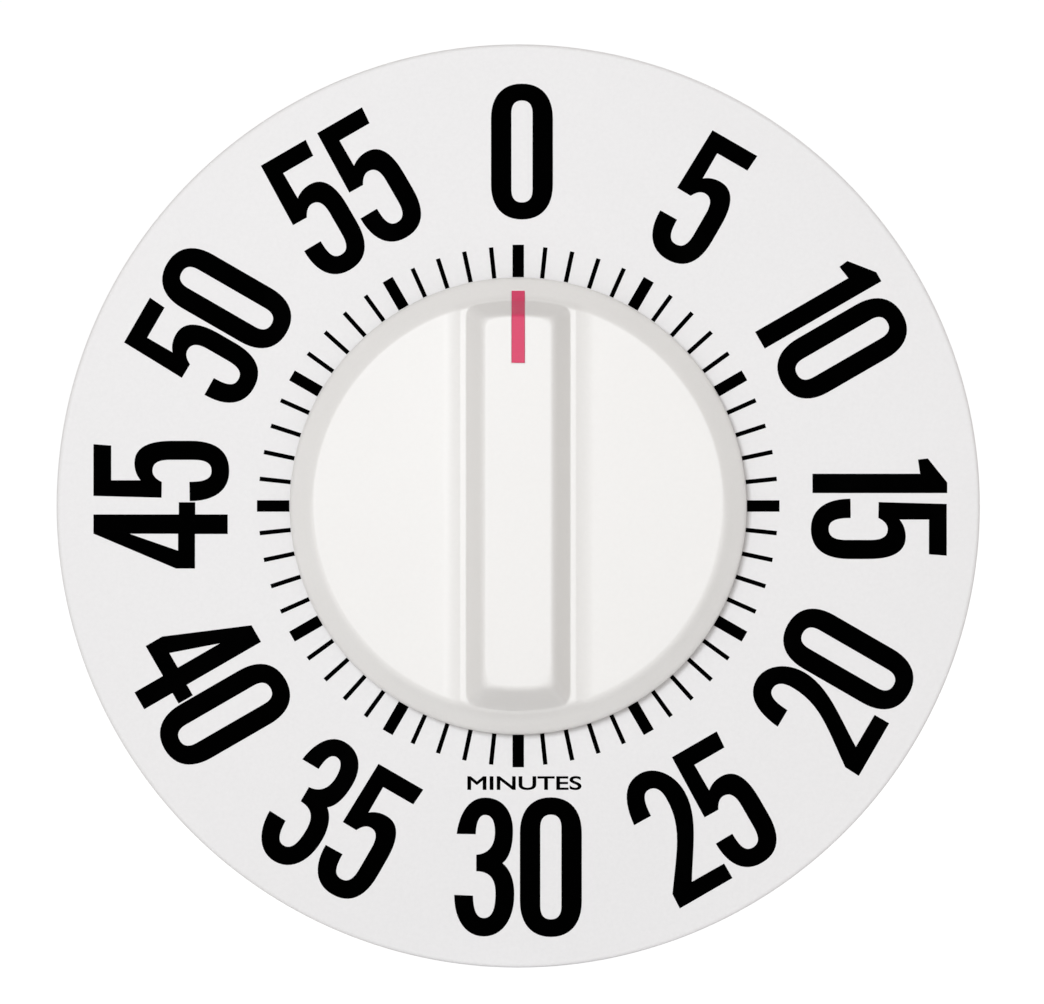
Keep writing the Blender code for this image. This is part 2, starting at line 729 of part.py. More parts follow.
def escape_wheel(seat):
    """Pointed teeth with a gap centred on the line to the anchor."""
    pitch = 360 / ESCAPE_TEETH
    root = 5.9 * MM
    points = []
    for i in range(ESCAPE_TEETH):
        tip = ANCHOR_TURN + pitch * (i + 0.5)
        for radius, ahead in ((root, -0.10), (ESCAPE_R, -0.02), (ESCAPE_R, 0.04), (root, 0.24)):
            points.append(step((0, 0), radius, tip + pitch * ahead))
    wheel("escape_wheel", points, seat, 26.4 * MM, 27.0 * MM, ESCAPE_AT)


def main_power():
    """The arbor that the knob turns, its spring, and the click that lets it wind."""
    low, high = BACK_PLATE + PLATE_THICK + GAP, FRONT_PLATE - GAP
    shaft_top = 50.6 * MM
    profile = [(0, shaft_top), (2.7 * MM, shaft_top), (2.7 * MM, high), (MAIN_R, high)]
    profile += [(MAIN_R, low), (2.0 * MM, low), (2.0 * MM, 13.8 * MM), (0, 13.8 * MM)]
    arbor = turned("main_arbor", profile, steps=16)
    flat = box("arbor_flat", (1.6 * MM, -5 * MM, 38.8 * MM), (5 * MM, 5 * MM, 55 * MM))
    dress(cut(arbor, [flat]), STEEL)
    mainspring()
    teeth, tip_r, root_r = 24, 8.0 * MM, 7.1 * MM
    ratchet = []
    for i in range(teeth):
        tip = CLICK_TURN + 360 * i / teeth
        ratchet.append(step((0, 0), tip_r, tip))
        ratchet.append(step((0, 0), root_r, tip - 0.8))
    low, high = 28.3 * MM, 29.4 * MM
    shape = [ratchet[::-1], circle(MAIN_R + GAP, 16)]
    dress(plate("ratchet_wheel", shape, low, high), STEEL)
    click(low, high)


def click(low, high):
    """A pawl on the great wheel, its rivet, and the leaf that presses it."""
    nose = relative(step(MAIN_AT, 7.97 * MM, CLICK_TURN + 4.2), CLICK_AT)
    body = link((0, 0), nose, 2.1 * MM, 0.45 * MM)
    pawl = plate("click", [body, circle(1.0 * MM + GAP, 12)], low, high, CLICK_AT)
    dress(pawl, STEEL)
    head, shank = 1.9 * MM, 1.0 * MM
    profile = [(0, 31.9 * MM), (head, 31.9 * MM), (head, 31.3 * MM), (shank, 31.3 * MM)]
    profile += [(shank, 28.0 * MM), (head, 28.0 * MM), (head, 27.7 * MM), (0, 27.7 * MM)]
    dress(turned("click_rivet", profile, steps=16, at=CLICK_AT), STEEL)
    foot = step(MAIN_AT, 14.0 * MM, CLICK_BEARING - 90)
    tip = step(MAIN_AT, 11.9 * MM, CLICK_BEARING - 20.4)
    leaf = link(foot, tip, 1.3 * MM, 0.25 * MM, 5)
    dress(plate("click_spring", [leaf], low, high), SPRING_STEEL)


def mainspring():
    """A flat spring coiled on the arbor, its outer end hooked round the right-hand pillar."""
    turns, per_turn = 5, 18
    inner_r, outer_r = 3.7 * MM, 15.5 * MM
    pillar = (PILLARS[1][0] * MM, PILLARS[1][1] * MM)
    wrap_r = 2.9 * MM
    reach = math.hypot(*pillar)
    bearing = math.degrees(math.atan2(pillar[1], pillar[0]))
    leave = bearing - math.degrees(math.acos((outer_r - wrap_r) / reach))
    count = turns * per_turn
    points = []
    for i in range(count + 1):
        share = i / count
        radius = inner_r + (outer_r - inner_r) * share
        points.append(step(MAIN_AT, radius, leave - 360 * turns * (1 - share)))
    points += arc(pillar, wrap_r, leave, leave + 200, 9)
    curve = bpy.data.curves.new("mainspring", "CURVE")
    curve.dimensions = "3D"
    curve.extrude = (SPRING_HIGH - SPRING_LOW) / 2
    spline = curve.splines.new("POLY")
    spline.points.add(len(points) - 1)
    for point, (x, y) in zip(spline.points, points):
        point.co = (x, y, 0, 1)
    height = (SPRING_LOW + SPRING_HIGH) / 2
    ribbon = as_mesh(place(bpy.data.objects.new("mainspring", curve), MAIN_AT, height))
    wall = ribbon.modifiers.new("thickness", "SOLIDIFY")
    wall.thickness = 0.4 * MM
    wall.offset = 0
    dress(ribbon, SPRING_STEEL)


# ---------------------------------------------------------------- escapement


def escapement():
    """The anchor rocks on its arbor, and the weighted bar sets its beat."""
    reach = ANCHOR_REACH
    turn = math.radians(PALLET_TURN)
    out = Vector((-math.cos(turn), math.sin(turn)))
    along = Vector((math.sin(turn), math.cos(turn)))
    centre = Vector((reach, 0))
    tip = centre + out * (ESCAPE_R + 0.12 * MM)
    root = centre + out * (ESCAPE_R + 1.9 * MM)
    half = [(1.9 * MM, 0), (1.75 * MM, 0.9 * MM), (2.6 * MM, 4.3 * MM)]
    half += [tip - along * 0.25 * MM, tip + along * 0.25 * MM, root + along * 0.7 * MM]
    half += [(1.4 * MM, 6.4 * MM), (-0.9 * MM, 1.7 * MM), (-1.9 * MM, 0)]
    upper = [(p[0], p[1]) for p in half]
    lower = [(x, -y) for x, y in reversed(upper[1:-1])]
    facing = math.radians(ANCHOR_TURN + 180)
    hole = circle(ARBOR_R + GAP, 12)
    shape = [upper + lower, hole]
    anchor = plate("anchor", shape, 26.2 * MM, 27.2 * MM, ANCHOR_AT, turn=facing)
    dress(anchor, STEEL)
    pinion("anchor_arbor", None, 0, 0, 0, ANCHOR_AT)
    arm, end = 8.5 * MM, 2.6 * MM
    bar = link((-arm, 0), (arm, 0), end, end, 9)
    across = math.radians(ANCHOR_TURN + 90)
    hole = circle(ARBOR_R + GAP, 12)
    weight = plate("inertia_bar", [bar, hole], 18.4 * MM, 20.0 * MM, ANCHOR_AT, turn=across)
    dress(weight, BRASS)


# ---------------------------------------------------------------- strike work


def strike_cam():
    """A disc with one notch, which the lever's nose meets at zero."""
    notch, depth = 22, 1.6 * MM
    rim = arc((0, 0), CAM_R, 90 + notch, 450 - notch, 33)
    floor = arc((0, 0), CAM_R - depth, 90 - notch + 2, 90 + notch - 2, 5)
    shape = [rim + floor, circle(MAIN_R + GAP, 16)]
    dress(plate("strike_cam", shape, CAM_LOW, CAM_HIGH), STEEL)


def strike_lever():
    hub_r = 2.1 * MM
    nose = relative((0, CAM_R + 0.35 * MM + 0.7 * MM), LEVER_AT)
    hook = relative((-21.6 * MM, 12.6 * MM), LEVER_AT)
    right = link((0, 0), nose, hub_r, 0.7 * MM)
    left = link((0, 0), hook, hub_r, 0.8 * MM)
    hole = circle(0.8 * MM + GAP, 12)
    lever = plate("strike_lever", [right], CAM_LOW, CAM_HIGH, LEVER_AT)
    arm = plate("lever_arm", [left], CAM_LOW, CAM_HIGH, LEVER_AT)
    bore = plate("lever_bore", [hole], CAM_LOW - MM, CAM_HIGH + MM, LEVER_AT, hidden=True)
    lever = as_mesh(lever)
    dress(cut(join(lever, [as_mesh(arm)]), [as_mesh(bore)]), STEEL)
    collar, stud = 1.8 * MM, 0.8 * MM
    low, high = BACK_PLATE - MM, CAM_HIGH + 1.2 * MM
    profile = [(0, high), (collar, high), (collar, CAM_HIGH + GAP)]
    profile += [(stud, CAM_HIGH + GAP), (stud, low), (0, low)]
    dress(turned("lever_stud", profile, steps=12, at=LEVER_AT), STEEL)


def ring_star():
    """Eight points that trip the hammer's tail as the second wheel runs."""
    outline = []
    for i in range(8):
        outline.append(step((0, 0), STAR_R, 45 * i))
        outline.append(step((0, 0), 3.6 * MM, 45 * i + 22.5))
    shape = [outline, circle(ARBOR_R + GAP, 12)]
    dress(plate("ring_star", shape, CAM_LOW, CAM_HIGH, SECOND_AT), BRASS)


def hammer():
    """The hammer's arbor carries a tail between the plates and the striking arm behind them."""
    low = 8.4 * MM
    high = FRONT_PLATE - GAP
    profile = [(0, high + 1.6 * MM), (PIVOT_R, high + 1.6 * MM), (PIVOT_R, high)]
    profile += [(ARBOR_R, high), (ARBOR_R, low), (0, low)]
    dress(turned("hammer_arbor", profile, steps=12, at=HAMMER_AT), STEEL)
    way = Vector(SECOND_AT) - Vector(HAMMER_AT)
    nose = way.normalized() * (way.length - STAR_R - 0.9 * MM)
    finger = relative((-23.6 * MM, 8.6 * MM), HAMMER_AT)
    hub_r = 2.3 * MM
    tail = plate(
        "hammer_tail", [link((0, 0), nose, hub_r, 0.5 * MM)], CAM_LOW, CAM_HIGH, HAMMER_AT
    )
    side = plate(
        "tail_finger", [link((0, 0), finger, hub_r, 0.8 * MM)], CAM_LOW, CAM_HIGH, HAMMER_AT
    )
    hole = circle(ARBOR_R + GAP, 12)
    bore = plate("tail_bore", [hole], CAM_LOW - MM, CAM_HIGH + MM, HAMMER_AT, hidden=True)
    dress(cut(join(as_mesh(tail), [as_mesh(side)]), [as_mesh(bore)]), STEEL)
    head_r = 3.0 * MM
    end = relative(HAMMER_HEAD, HAMMER_AT)
    shape = [link((0, 0), end, hub_r, 1.6 * MM), hole, circle(1.0 * MM, 10, end)]
    dress(plate("hammer_arm", shape, 9.0 * MM, 10.0 * MM, HAMMER_AT), STEEL)
    shank, edge = 0.7 * MM, 0.5 * MM
    profile = [(0, 13.0 * MM), (head_r - edge, 13.0 * MM), (head_r, 12.5 * MM)]
    profile += [(head_r, 10.3 * MM), (shank, 10.3 * MM), (shank, 8.7 * MM)]
    profile += [(1.6 * MM, 8.7 * MM), (1.6 * MM, 8.2 * MM), (0, 8.2 * MM)]
    dress(turned("hammer_head", profile, steps=16, at=HAMMER_HEAD), BRASS)
    post = (PILLARS[0][0] * MM, PILLARS[0][1] * MM)
    eye = 3.3 * MM
    tip = relative((-33.6 * MM, 11.4 * MM), post)
    leaf = link((0, 0), tip, eye, 0.25 * MM)
    shape = [leaf, circle(2.2 * MM + GAP, 14)]
    dress(plate("hammer_spring", shape, CAM_LOW, CAM_HIGH, post), SPRING_STEEL)


def bell():
    """A shallow dish screwed to a post on the case's floor."""
    wall = 0.9 * MM
    crown, mouth = 6.5 * MM, 13.0 * MM
    bend = 4.0 * MM
    corner = [
        (BELL_R - bend + bend * math.sin(t), crown + bend - bend * math.cos(t))
        for t in (math.pi / 2, math.pi / 3, math.pi / 6, 0)
    ]
    small = bend - wall
    inside = [
        (BELL_R - bend + small * math.sin(t), crown + bend - small * math.cos(t))
        for t in (0, math.pi / 4, math.pi / 2)
    ]
    hole = 1.9 * MM
    profile = [(BELL_R, mouth), *corner, (hole, crown), (hole, crown + wall), *inside]
    profile.append((BELL_R - wall, mouth))
    dress(turned("bell", profile, steps=28, closed=True), STEEL)
    post = [(3.2 * MM, 6.2 * MM), (3.2 * MM, 4.3 * MM), (1.6 * MM, 4.3 * MM), (1.6 * MM, 6.2 * MM)]
    dress(turned("bell_post", post, steps=16, closed=True), STEEL)
    low, top = 7.7 * MM, 9.3 * MM
    profile = [(0, top), (2.2 * MM, top), (3.2 * MM, top - 0.7 * MM), (3.2 * MM, low)]
    profile += [(1.2 * MM, low), (1.2 * MM, 4.5 * MM), (0, 4.5 * MM)]
    screw = turned("bell_screw", profile, steps=20)
    slot = box("bell_screw_slot", (-5 * MM, -0.4 * MM, top - 0.8 * MM), (5 * MM, 0.4 * MM, 12 * MM))
    dress(cut(screw, [slot]), STEEL)


housing()
knob()
stand()
movement_frame()
train()
main_power()
escapement()
strike_cam()
strike_lever()
ring_star()
hammer()
bell()
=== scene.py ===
# %% [markdown]
# # A wind-up kitchen timer
# The engineering model is loaded first and stays fixed: it says where every body is and how it
# moves. This lesson then dresses it. We make a smooth dial with printed numbers, a moulded knob
# with a grip bar, a back with its screws, magnets and wire stand, and a finish for every part
# of the movement inside.

# %% Load the fixed model and measure its box
import json
import math

import bmesh
import bpy
from mathutils import Matrix, Vector


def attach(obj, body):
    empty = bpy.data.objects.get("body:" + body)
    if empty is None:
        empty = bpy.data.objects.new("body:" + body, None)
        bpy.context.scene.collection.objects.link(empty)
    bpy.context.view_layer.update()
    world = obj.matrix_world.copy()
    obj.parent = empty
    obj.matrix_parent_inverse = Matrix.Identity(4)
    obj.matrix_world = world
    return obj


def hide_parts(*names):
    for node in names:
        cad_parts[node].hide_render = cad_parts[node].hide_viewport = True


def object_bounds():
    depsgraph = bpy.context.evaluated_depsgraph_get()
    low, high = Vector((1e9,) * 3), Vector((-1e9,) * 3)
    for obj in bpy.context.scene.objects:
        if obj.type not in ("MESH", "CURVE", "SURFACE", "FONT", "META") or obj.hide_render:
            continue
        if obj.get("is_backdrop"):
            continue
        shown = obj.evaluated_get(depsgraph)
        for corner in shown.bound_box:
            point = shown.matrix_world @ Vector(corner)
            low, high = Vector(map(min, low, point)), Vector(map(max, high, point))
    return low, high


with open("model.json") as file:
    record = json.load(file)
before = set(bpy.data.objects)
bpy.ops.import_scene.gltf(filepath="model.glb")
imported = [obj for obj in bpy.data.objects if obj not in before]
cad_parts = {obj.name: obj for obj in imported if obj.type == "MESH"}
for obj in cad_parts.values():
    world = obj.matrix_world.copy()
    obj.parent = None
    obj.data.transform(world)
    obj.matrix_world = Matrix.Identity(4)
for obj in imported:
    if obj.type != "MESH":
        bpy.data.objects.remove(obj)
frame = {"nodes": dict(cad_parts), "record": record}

cad_low, cad_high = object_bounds()
print("engineering box, m:", [round(v, 4) for v in cad_high - cad_low])

# %% [markdown]
# ## Working on a bench
# A flat dial is easiest to draw lying down: x to the right, y towards the zero, z up at the
# viewer, in millimetres. `BENCH` stands such a drawing up in the model's own frame, where the
# dial faces -Y and lengths are metres. Each finished mesh is turned once, in its points, so the
# object itself stays at the origin.

# %% The bench, and how a finished mesh joins the model
MM = 0.001
BENCH = Matrix.Rotation(math.pi / 2, 4, "X") @ Matrix.Scale(MM, 4)
CREASE_DEGREES = 30
SAME_POINT = 0.001


def finish_piece(name, mesh, material, body, stands_for=()):
    """Stands a mesh up as one named piece that rides on a body."""
    mesh.transform(BENCH)
    mesh.name = name
    mesh.materials.clear()
    mesh.materials.append(material)
    mesh.shade_smooth()
    mesh.set_sharp_from_angle(angle=math.radians(CREASE_DEGREES))
    piece = bpy.data.objects.new(name, mesh)
    bpy.context.scene.collection.objects.link(piece)
    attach(piece, body)
    if stands_for:
        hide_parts(*stands_for)
    print(f"{name}: {len(mesh.polygons)} faces on {body}")


def settled(obj):
    """The object's mesh with all modifiers worked in. The object is removed."""
    bpy.context.view_layer.update()
    graph = bpy.context.evaluated_depsgraph_get()
    mesh = bpy.data.meshes.new_from_object(obj.evaluated_get(graph))
    bpy.data.objects.remove(obj)
    return mesh


def closed_mesh(bm, name="bench_mesh"):
    """Merges doubled points, turns all faces outwards, and gives a mesh."""
    bmesh.ops.remove_doubles(bm, verts=bm.verts, dist=SAME_POINT)
    bmesh.ops.recalc_face_normals(bm, faces=bm.faces)
    mesh = bpy.data.meshes.new(name)
    bm.to_mesh(mesh)
    bm.free()
    return mesh


# %% [markdown]
# ## The studio
# White plastic only reads as white under broad, even light. A bright surround lights every
# side, one large panel in front, a little to the left, gives the faces their light and lets
# the slopes fall a shade darker, and a pale floor closes the room. A weaker panel shapes the
# back.

# %% Camera, square on to the dial
DIAL_CENTRE = Vector((0.0, -0.038, 0.0))
LOOK_AT = DIAL_CENTRE + Vector((0.00073, 0.0, 0.00077))
DISTANCE = 1.6
FIELD_WIDTH = 0.2012
SENSOR = 36

scene = bpy.context.scene
towards = Vector((0.0, -1.0, 0.0))
camera = bpy.data.objects.new("camera", bpy.data.cameras.new("camera"))
camera.data.sensor_width = SENSOR
camera.data.lens = SENSOR * DISTANCE / FIELD_WIDTH
camera.data.clip_start, camera.data.clip_end = 0.05, 50
camera.location = LOOK_AT + towards * DISTANCE
camera.rotation_euler = (-towards).to_track_quat("-Z", "Y").to_euler()
scene.collection.objects.link(camera)
scene.camera = camera
print("lens, mm:", round(camera.data.lens, 1))

# %% Floor, surround and two broad panels
SURROUND_SEEN, SURROUND_LIT = 1.02, 0.475
LIT_TONE, PANEL_TONE, FLOOR_TONE = (1.0, 0.95, 0.91, 1.0), (0.97, 1.0, 1.03), 0.85
FLOOR_HALF, FLOOR_GLOW = 12.0, 1.2
GLOW_SEEN, GLOW_CAST = 0.75, 0.08
scene.view_settings.view_transform = "Standard"


def linked(tree, start, end):
    """Joins an output to an input."""
    tree.links.new(start, end)


world = bpy.data.worlds.new("studio")
world.use_nodes = True
scene.world = world
tree = world.node_tree
seen, lit = tree.nodes["Background"], tree.nodes.new("ShaderNodeBackground")
seen.inputs["Color"].default_value = (1.0, 1.0, 1.0, 1.0)
seen.inputs["Strength"].default_value = SURROUND_SEEN
lit.inputs["Color"].default_value = LIT_TONE
lit.inputs["Strength"].default_value = SURROUND_LIT
chooser, paths = tree.nodes.new("ShaderNodeMixShader"), tree.nodes.new("ShaderNodeLightPath")
linked(tree, paths.outputs["Is Camera Ray"], chooser.inputs["Fac"])
linked(tree, lit.outputs["Background"], chooser.inputs[1])
linked(tree, seen.outputs["Background"], chooser.inputs[2])
linked(tree, chooser.outputs["Shader"], tree.nodes["World Output"].inputs["Surface"])

floor_finish = bpy.data.materials.new("studio_floor")
floor_finish.use_nodes = True
tree = floor_finish.node_tree
shader, glow = tree.nodes["Principled BSDF"], tree.nodes.new("ShaderNodeEmission")
shader.inputs["Base Color"].default_value = (FLOOR_TONE, FLOOR_TONE, FLOOR_TONE, 1)
shader.inputs["Roughness"].default_value = 0.9
shader.inputs["Specular IOR Level"].default_value = 0.0
glow.inputs["Strength"].default_value = FLOOR_GLOW
chooser, paths = tree.nodes.new("ShaderNodeMixShader"), tree.nodes.new("ShaderNodeLightPath")
share = tree.nodes.new("ShaderNodeMath")
share.operation = "MULTIPLY_ADD"
share.inputs[1].default_value = GLOW_SEEN
share.inputs[2].default_value = GLOW_CAST
linked(tree, paths.outputs["Is Camera Ray"], share.inputs[0])
linked(tree, share.outputs["Value"], chooser.inputs["Fac"])
linked(tree, shader.outputs["BSDF"], chooser.inputs[1])
linked(tree, glow.outputs["Emission"], chooser.inputs[2])
linked(tree, chooser.outputs["Shader"], tree.nodes["Material Output"].inputs["Surface"])

bm = bmesh.new()
bmesh.ops.create_grid(bm, x_segments=1, y_segments=1, size=FLOOR_HALF)
mesh = bpy.data.meshes.new("studio_floor")
bm.to_mesh(mesh)
bm.free()
mesh.materials.append(floor_finish)
floor = bpy.data.objects.new("studio_floor", mesh)
floor.location = (0, 0, cad_low.z)
scene.collection.objects.link(floor)
floor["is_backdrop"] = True


def panel(name, place, sizes, power):
    """A soft light that faces the dial."""
    light = bpy.data.lights.new(name, "AREA")
    light.shape = "RECTANGLE"
    light.size, light.size_y = sizes
    light.energy = power
    light.color = PANEL_TONE
    lamp = bpy.data.objects.new(name, light)
    lamp.location = place
    lamp.rotation_euler = (DIAL_CENTRE - Vector(place)).to_track_quat("-Z", "Y").to_euler()
    scene.collection.objects.link(lamp)


panel("front_panel", (-0.30, -2.3, 0.28), (0.45, 0.45), 24.6)
panel("back_panel", (1.0, 2.0, 1.4), (1.0, 1.0), 12.0)
print("studio ready")

# %% [markdown]
# ## Shared effects
# Moulded plastic is never one flat value. Three small node groups give what all the finishes
# share: a fine grain from the mould, long brush or rolling lines on metal, and faint cloudy
# changes of tone. A group only puts out masks and normals, and every finish sets its own amount.


# %% A helper that starts a node group
def new_group(name, numbers):
    """A shader group with number inputs (name: value) and the outputs Mask and Normal."""
    group = bpy.data.node_groups.new(name, "ShaderNodeTree")
    for label, value in numbers.items():
        socket = group.interface.new_socket(label, in_out="INPUT", socket_type="NodeSocketFloat")
        socket.default_value = value
    group.interface.new_socket("Mask", in_out="OUTPUT", socket_type="NodeSocketFloat")
    group.interface.new_socket("Normal", in_out="OUTPUT", socket_type="NodeSocketVector")
    return group, group.nodes.new("NodeGroupInput"), group.nodes.new("NodeGroupOutput")


def noise(tree, scale, detail, vector):
    """A noise texture on a vector, with its scale and detail set."""
    made = tree.nodes.new("ShaderNodeTexNoise")
    made.inputs["Scale"].default_value = scale
    made.inputs["Detail"].default_value = detail
    linked(tree, vector, made.inputs["Vector"])
    return made


# %% Mould grain: two sizes of fine noise as a bump, and a cloudy mask
grain, given, result = new_group("mould_grain", {"Grain": 0.3, "Depth": 0.00002})
place = grain.nodes.new("ShaderNodeTexCoord").outputs["Object"]
fine, coarse = noise(grain, 2600, 2, place), noise(grain, 900, 3, place)
both = grain.nodes.new("ShaderNodeMath")
both.operation = "ADD"
linked(grain, fine.outputs["Fac"], both.inputs[0])
linked(grain, coarse.outputs["Fac"], both.inputs[1])
bump = grain.nodes.new("ShaderNodeBump")
linked(grain, given.outputs["Grain"], bump.inputs["Strength"])
linked(grain, given.outputs["Depth"], bump.inputs["Distance"])
linked(grain, both.outputs["Value"], bump.inputs["Height"])
cloud = noise(grain, 18, 4, place)
speck = noise(grain, 1400, 1, place)
blend = grain.nodes.new("ShaderNodeMix")
blend.inputs["Factor"].default_value = 0.5
linked(grain, cloud.outputs["Fac"], blend.inputs["A"])
linked(grain, speck.outputs["Fac"], blend.inputs["B"])
linked(grain, blend.outputs["Result"], result.inputs["Mask"])
linked(grain, bump.outputs["Normal"], result.inputs["Normal"])

# %% Brushed lines: noise stretched along one direction
brush, given, result = new_group("brushed_lines", {"Strength": 0.2, "Fineness": 1.0})
place = brush.nodes.new("ShaderNodeTexCoord").outputs["Object"]
stretch = brush.nodes.new("ShaderNodeMapping")
stretch.inputs["Scale"].default_value = (40, 40, 2600)
linked(brush, place, stretch.inputs["Vector"])
lines = noise(brush, 1.0, 3, stretch.outputs["Vector"])
linked(brush, given.outputs["Fineness"], lines.inputs["Scale"])
bump = brush.nodes.new("ShaderNodeBump")
bump.inputs["Distance"].default_value = 0.00001
linked(brush, given.outputs["Strength"], bump.inputs["Strength"])
linked(brush, lines.outputs["Fac"], bump.inputs["Height"])
linked(brush, lines.outputs["Fac"], result.inputs["Mask"])
linked(brush, bump.outputs["Normal"], result.inputs["Normal"])

# %% Handling marks: cloudy patches where fingers and dust dull a surface
marks, given, result = new_group("handling", {"Amount": 0.5})
place = marks.nodes.new("ShaderNodeTexCoord").outputs["Object"]
patches = noise(marks, 45, 6, place)
edge = marks.nodes.new("ShaderNodeMapRange")
edge.inputs["From Min"].default_value = 0.42
edge.inputs["From Max"].default_value = 0.72
linked(marks, patches.outputs["Fac"], edge.inputs["Value"])
share = marks.nodes.new("ShaderNodeMath")
share.operation = "MULTIPLY"
linked(marks, edge.outputs["Result"], share.inputs[0])
linked(marks, given.outputs["Amount"], share.inputs[1])
linked(marks, share.outputs["Value"], result.inputs["Mask"])
bump = marks.nodes.new("ShaderNodeBump")
bump.inputs["Strength"].default_value = 0.05
bump.inputs["Distance"].default_value = 0.00002
linked(marks, patches.outputs["Fac"], bump.inputs["Height"])
linked(marks, bump.outputs["Normal"], result.inputs["Normal"])
print("effects:", [group.name for group in bpy.data.node_groups])

# %% [markdown]
# ## Finishes
# One function makes a finish from a group: the mask slides the colour between two close tones
# and the roughness between two values, and the group's normal roughens the light. Plastics use
# the mould grain, metals the brushed lines, and printed ink the handling marks.


# %% Build a finish
def make_finish(name, effect, amounts, tones, rough, metallic=0.0, specular=0.5):
    """A material whose colour and roughness follow an effect's mask."""
    made = bpy.data.materials.new(name)
    made.use_nodes = True
    tree = made.node_tree
    shader = tree.nodes["Principled BSDF"]
    shader.inputs["Metallic"].default_value = metallic
    shader.inputs["Specular IOR Level"].default_value = specular
    source = tree.nodes.new("ShaderNodeGroup")
    source.node_tree = effect
    for label, value in amounts.items():
        source.inputs[label].default_value = value
    ramp = tree.nodes.new("ShaderNodeValToRGB")
    ramp.color_ramp.elements[0].position = 0.3
    ramp.color_ramp.elements[1].position = 0.7
    for stop, tone in zip(ramp.color_ramp.elements, tones):
        stop.color = (*tone, 1.0)
    span = tree.nodes.new("ShaderNodeMapRange")
    span.inputs["From Min"].default_value = 0.3
    span.inputs["From Max"].default_value = 0.7
    span.inputs["To Min"].default_value, span.inputs["To Max"].default_value = rough
    linked(tree, source.outputs["Mask"], ramp.inputs["Fac"])
    linked(tree, source.outputs["Mask"], span.inputs["Value"])
    linked(tree, ramp.outputs["Color"], shader.inputs["Base Color"])
    linked(tree, span.outputs["Result"], shader.inputs["Roughness"])
    linked(tree, source.outputs["Normal"], shader.inputs["Normal"])
    return made


def tone_pair(colour, spread):
    """Two close tones round a colour."""
    return [[c * (1 - spread) for c in colour], [min(c * (1 + spread), 1.0) for c in colour]]


# %% The plastics, the ink and the metals of this timer
dial_white = make_finish(
    "satin_dial_plastic", grain, {"Grain": 0.35, "Depth": 0.00002},
    tone_pair((0.845, 0.838, 0.84), 0.02), (0.5, 0.62), specular=0.3,
)
knob_white = make_finish(
    "smooth_knob_plastic", grain, {"Grain": 0.12, "Depth": 0.00001},
    tone_pair((0.842, 0.83, 0.812), 0.012), (0.34, 0.44), specular=0.35,
)
case_white = make_finish(
    "moulded_case_plastic", grain, {"Grain": 0.5, "Depth": 0.00004},
    tone_pair((0.82, 0.81, 0.80), 0.02), (0.45, 0.6), specular=0.4,
)
pointer_red = make_finish(
    "red_inlay_plastic", grain, {"Grain": 0.1, "Depth": 0.00001},
    tone_pair((0.71, 0.062, 0.15), 0.04), (0.4, 0.55), specular=0.2,
)
ink_black = make_finish(
    "printed_black_ink", marks, {"Amount": 0.6},
    [(0.0004, 0.0004, 0.0004), (0.0012, 0.0012, 0.0012)], (0.5, 0.7), specular=0.0,
)
steel = make_finish(
    "zinc_plated_steel", brush, {"Strength": 0.25, "Fineness": 1.0},
    [(0.55, 0.56, 0.58), (0.74, 0.74, 0.75)], (0.24, 0.42), metallic=1.0,
)
blued = make_finish(
    "tempered_spring_steel", brush, {"Strength": 0.2, "Fineness": 1.4},
    [(0.10, 0.12, 0.19), (0.22, 0.25, 0.34)], (0.25, 0.4), metallic=1.0,
)
brass = make_finish(
    "stamped_brass", brush, {"Strength": 0.3, "Fineness": 0.8},
    [(0.70, 0.50, 0.20), (0.86, 0.66, 0.32)], (0.25, 0.45), metallic=1.0,
)
ferrite = make_finish(
    "sintered_ferrite", grain, {"Grain": 0.9, "Depth": 0.00006},
    [(0.035, 0.035, 0.04), (0.085, 0.085, 0.09)], (0.55, 0.8), specular=0.4,
)
vinyl = make_finish(
    "soft_grey_vinyl", grain, {"Grain": 0.5, "Depth": 0.00003},
    tone_pair((0.26, 0.26, 0.27), 0.06), (0.5, 0.7), specular=0.3,
)
print("finishes:", len(bpy.data.materials))

# %% [markdown]
# ## Turning on a lathe
# The dial, the case, the screws and the magnets are all turned shapes. A profile is a list of
# (radius, height) points, and bmesh spins it round the bench's z axis.


# %% The lathe
def lathe(profile, steps, at=(0.0, 0.0)):
    """Spins a profile, which may be a closed loop, round z. The result is a bmesh."""
    bm = bmesh.new()
    ring = [bm.verts.new((r + at[0], at[1], z)) for r, z in profile]
    edges = [bm.edges.new(pair) for pair in zip(ring, ring[1:])]
    if profile[0][0] > 0:
        edges.append(bm.edges.new((ring[-1], ring[0])))
    bmesh.ops.spin(
        bm, geom=ring + edges, cent=(*at, 0), axis=(0, 0, 1), angle=2 * math.pi,
        steps=steps, use_merge=True,
    )
    bmesh.ops.remove_doubles(bm, verts=bm.verts, dist=SAME_POINT)
    bmesh.ops.recalc_face_normals(bm, faces=bm.faces)
    return bm


def round_corner(corner, before, after, radius, count=5):
    """Points of a rounded corner of a profile, from the side of before to the side of after."""
    corner, before, after = Vector(corner), Vector(before), Vector(after)
    one, two = (before - corner).normalized(), (after - corner).normalized()
    half = one.angle(two) / 2
    back = radius / math.tan(half)
    centre = corner + (one + two).normalized() * radius / math.sin(half)
    start = (corner + one * back - centre).normalized()
    end = (corner + two * back - centre).normalized()
    return [tuple(centre + start.slerp(end, i / (count - 1)) * radius) for i in range(count)]


def soften(profile, radii):
    """Rounds the numbered corners of a profile: radii is {index: radius}."""
    points = []
    for i, corner in enumerate(profile):
        if i in radii:
            after = profile[(i + 1) % len(profile)]
            points += round_corner(corner, profile[i - 1], after, radii[i])
        else:
            points.append(corner)
    return points


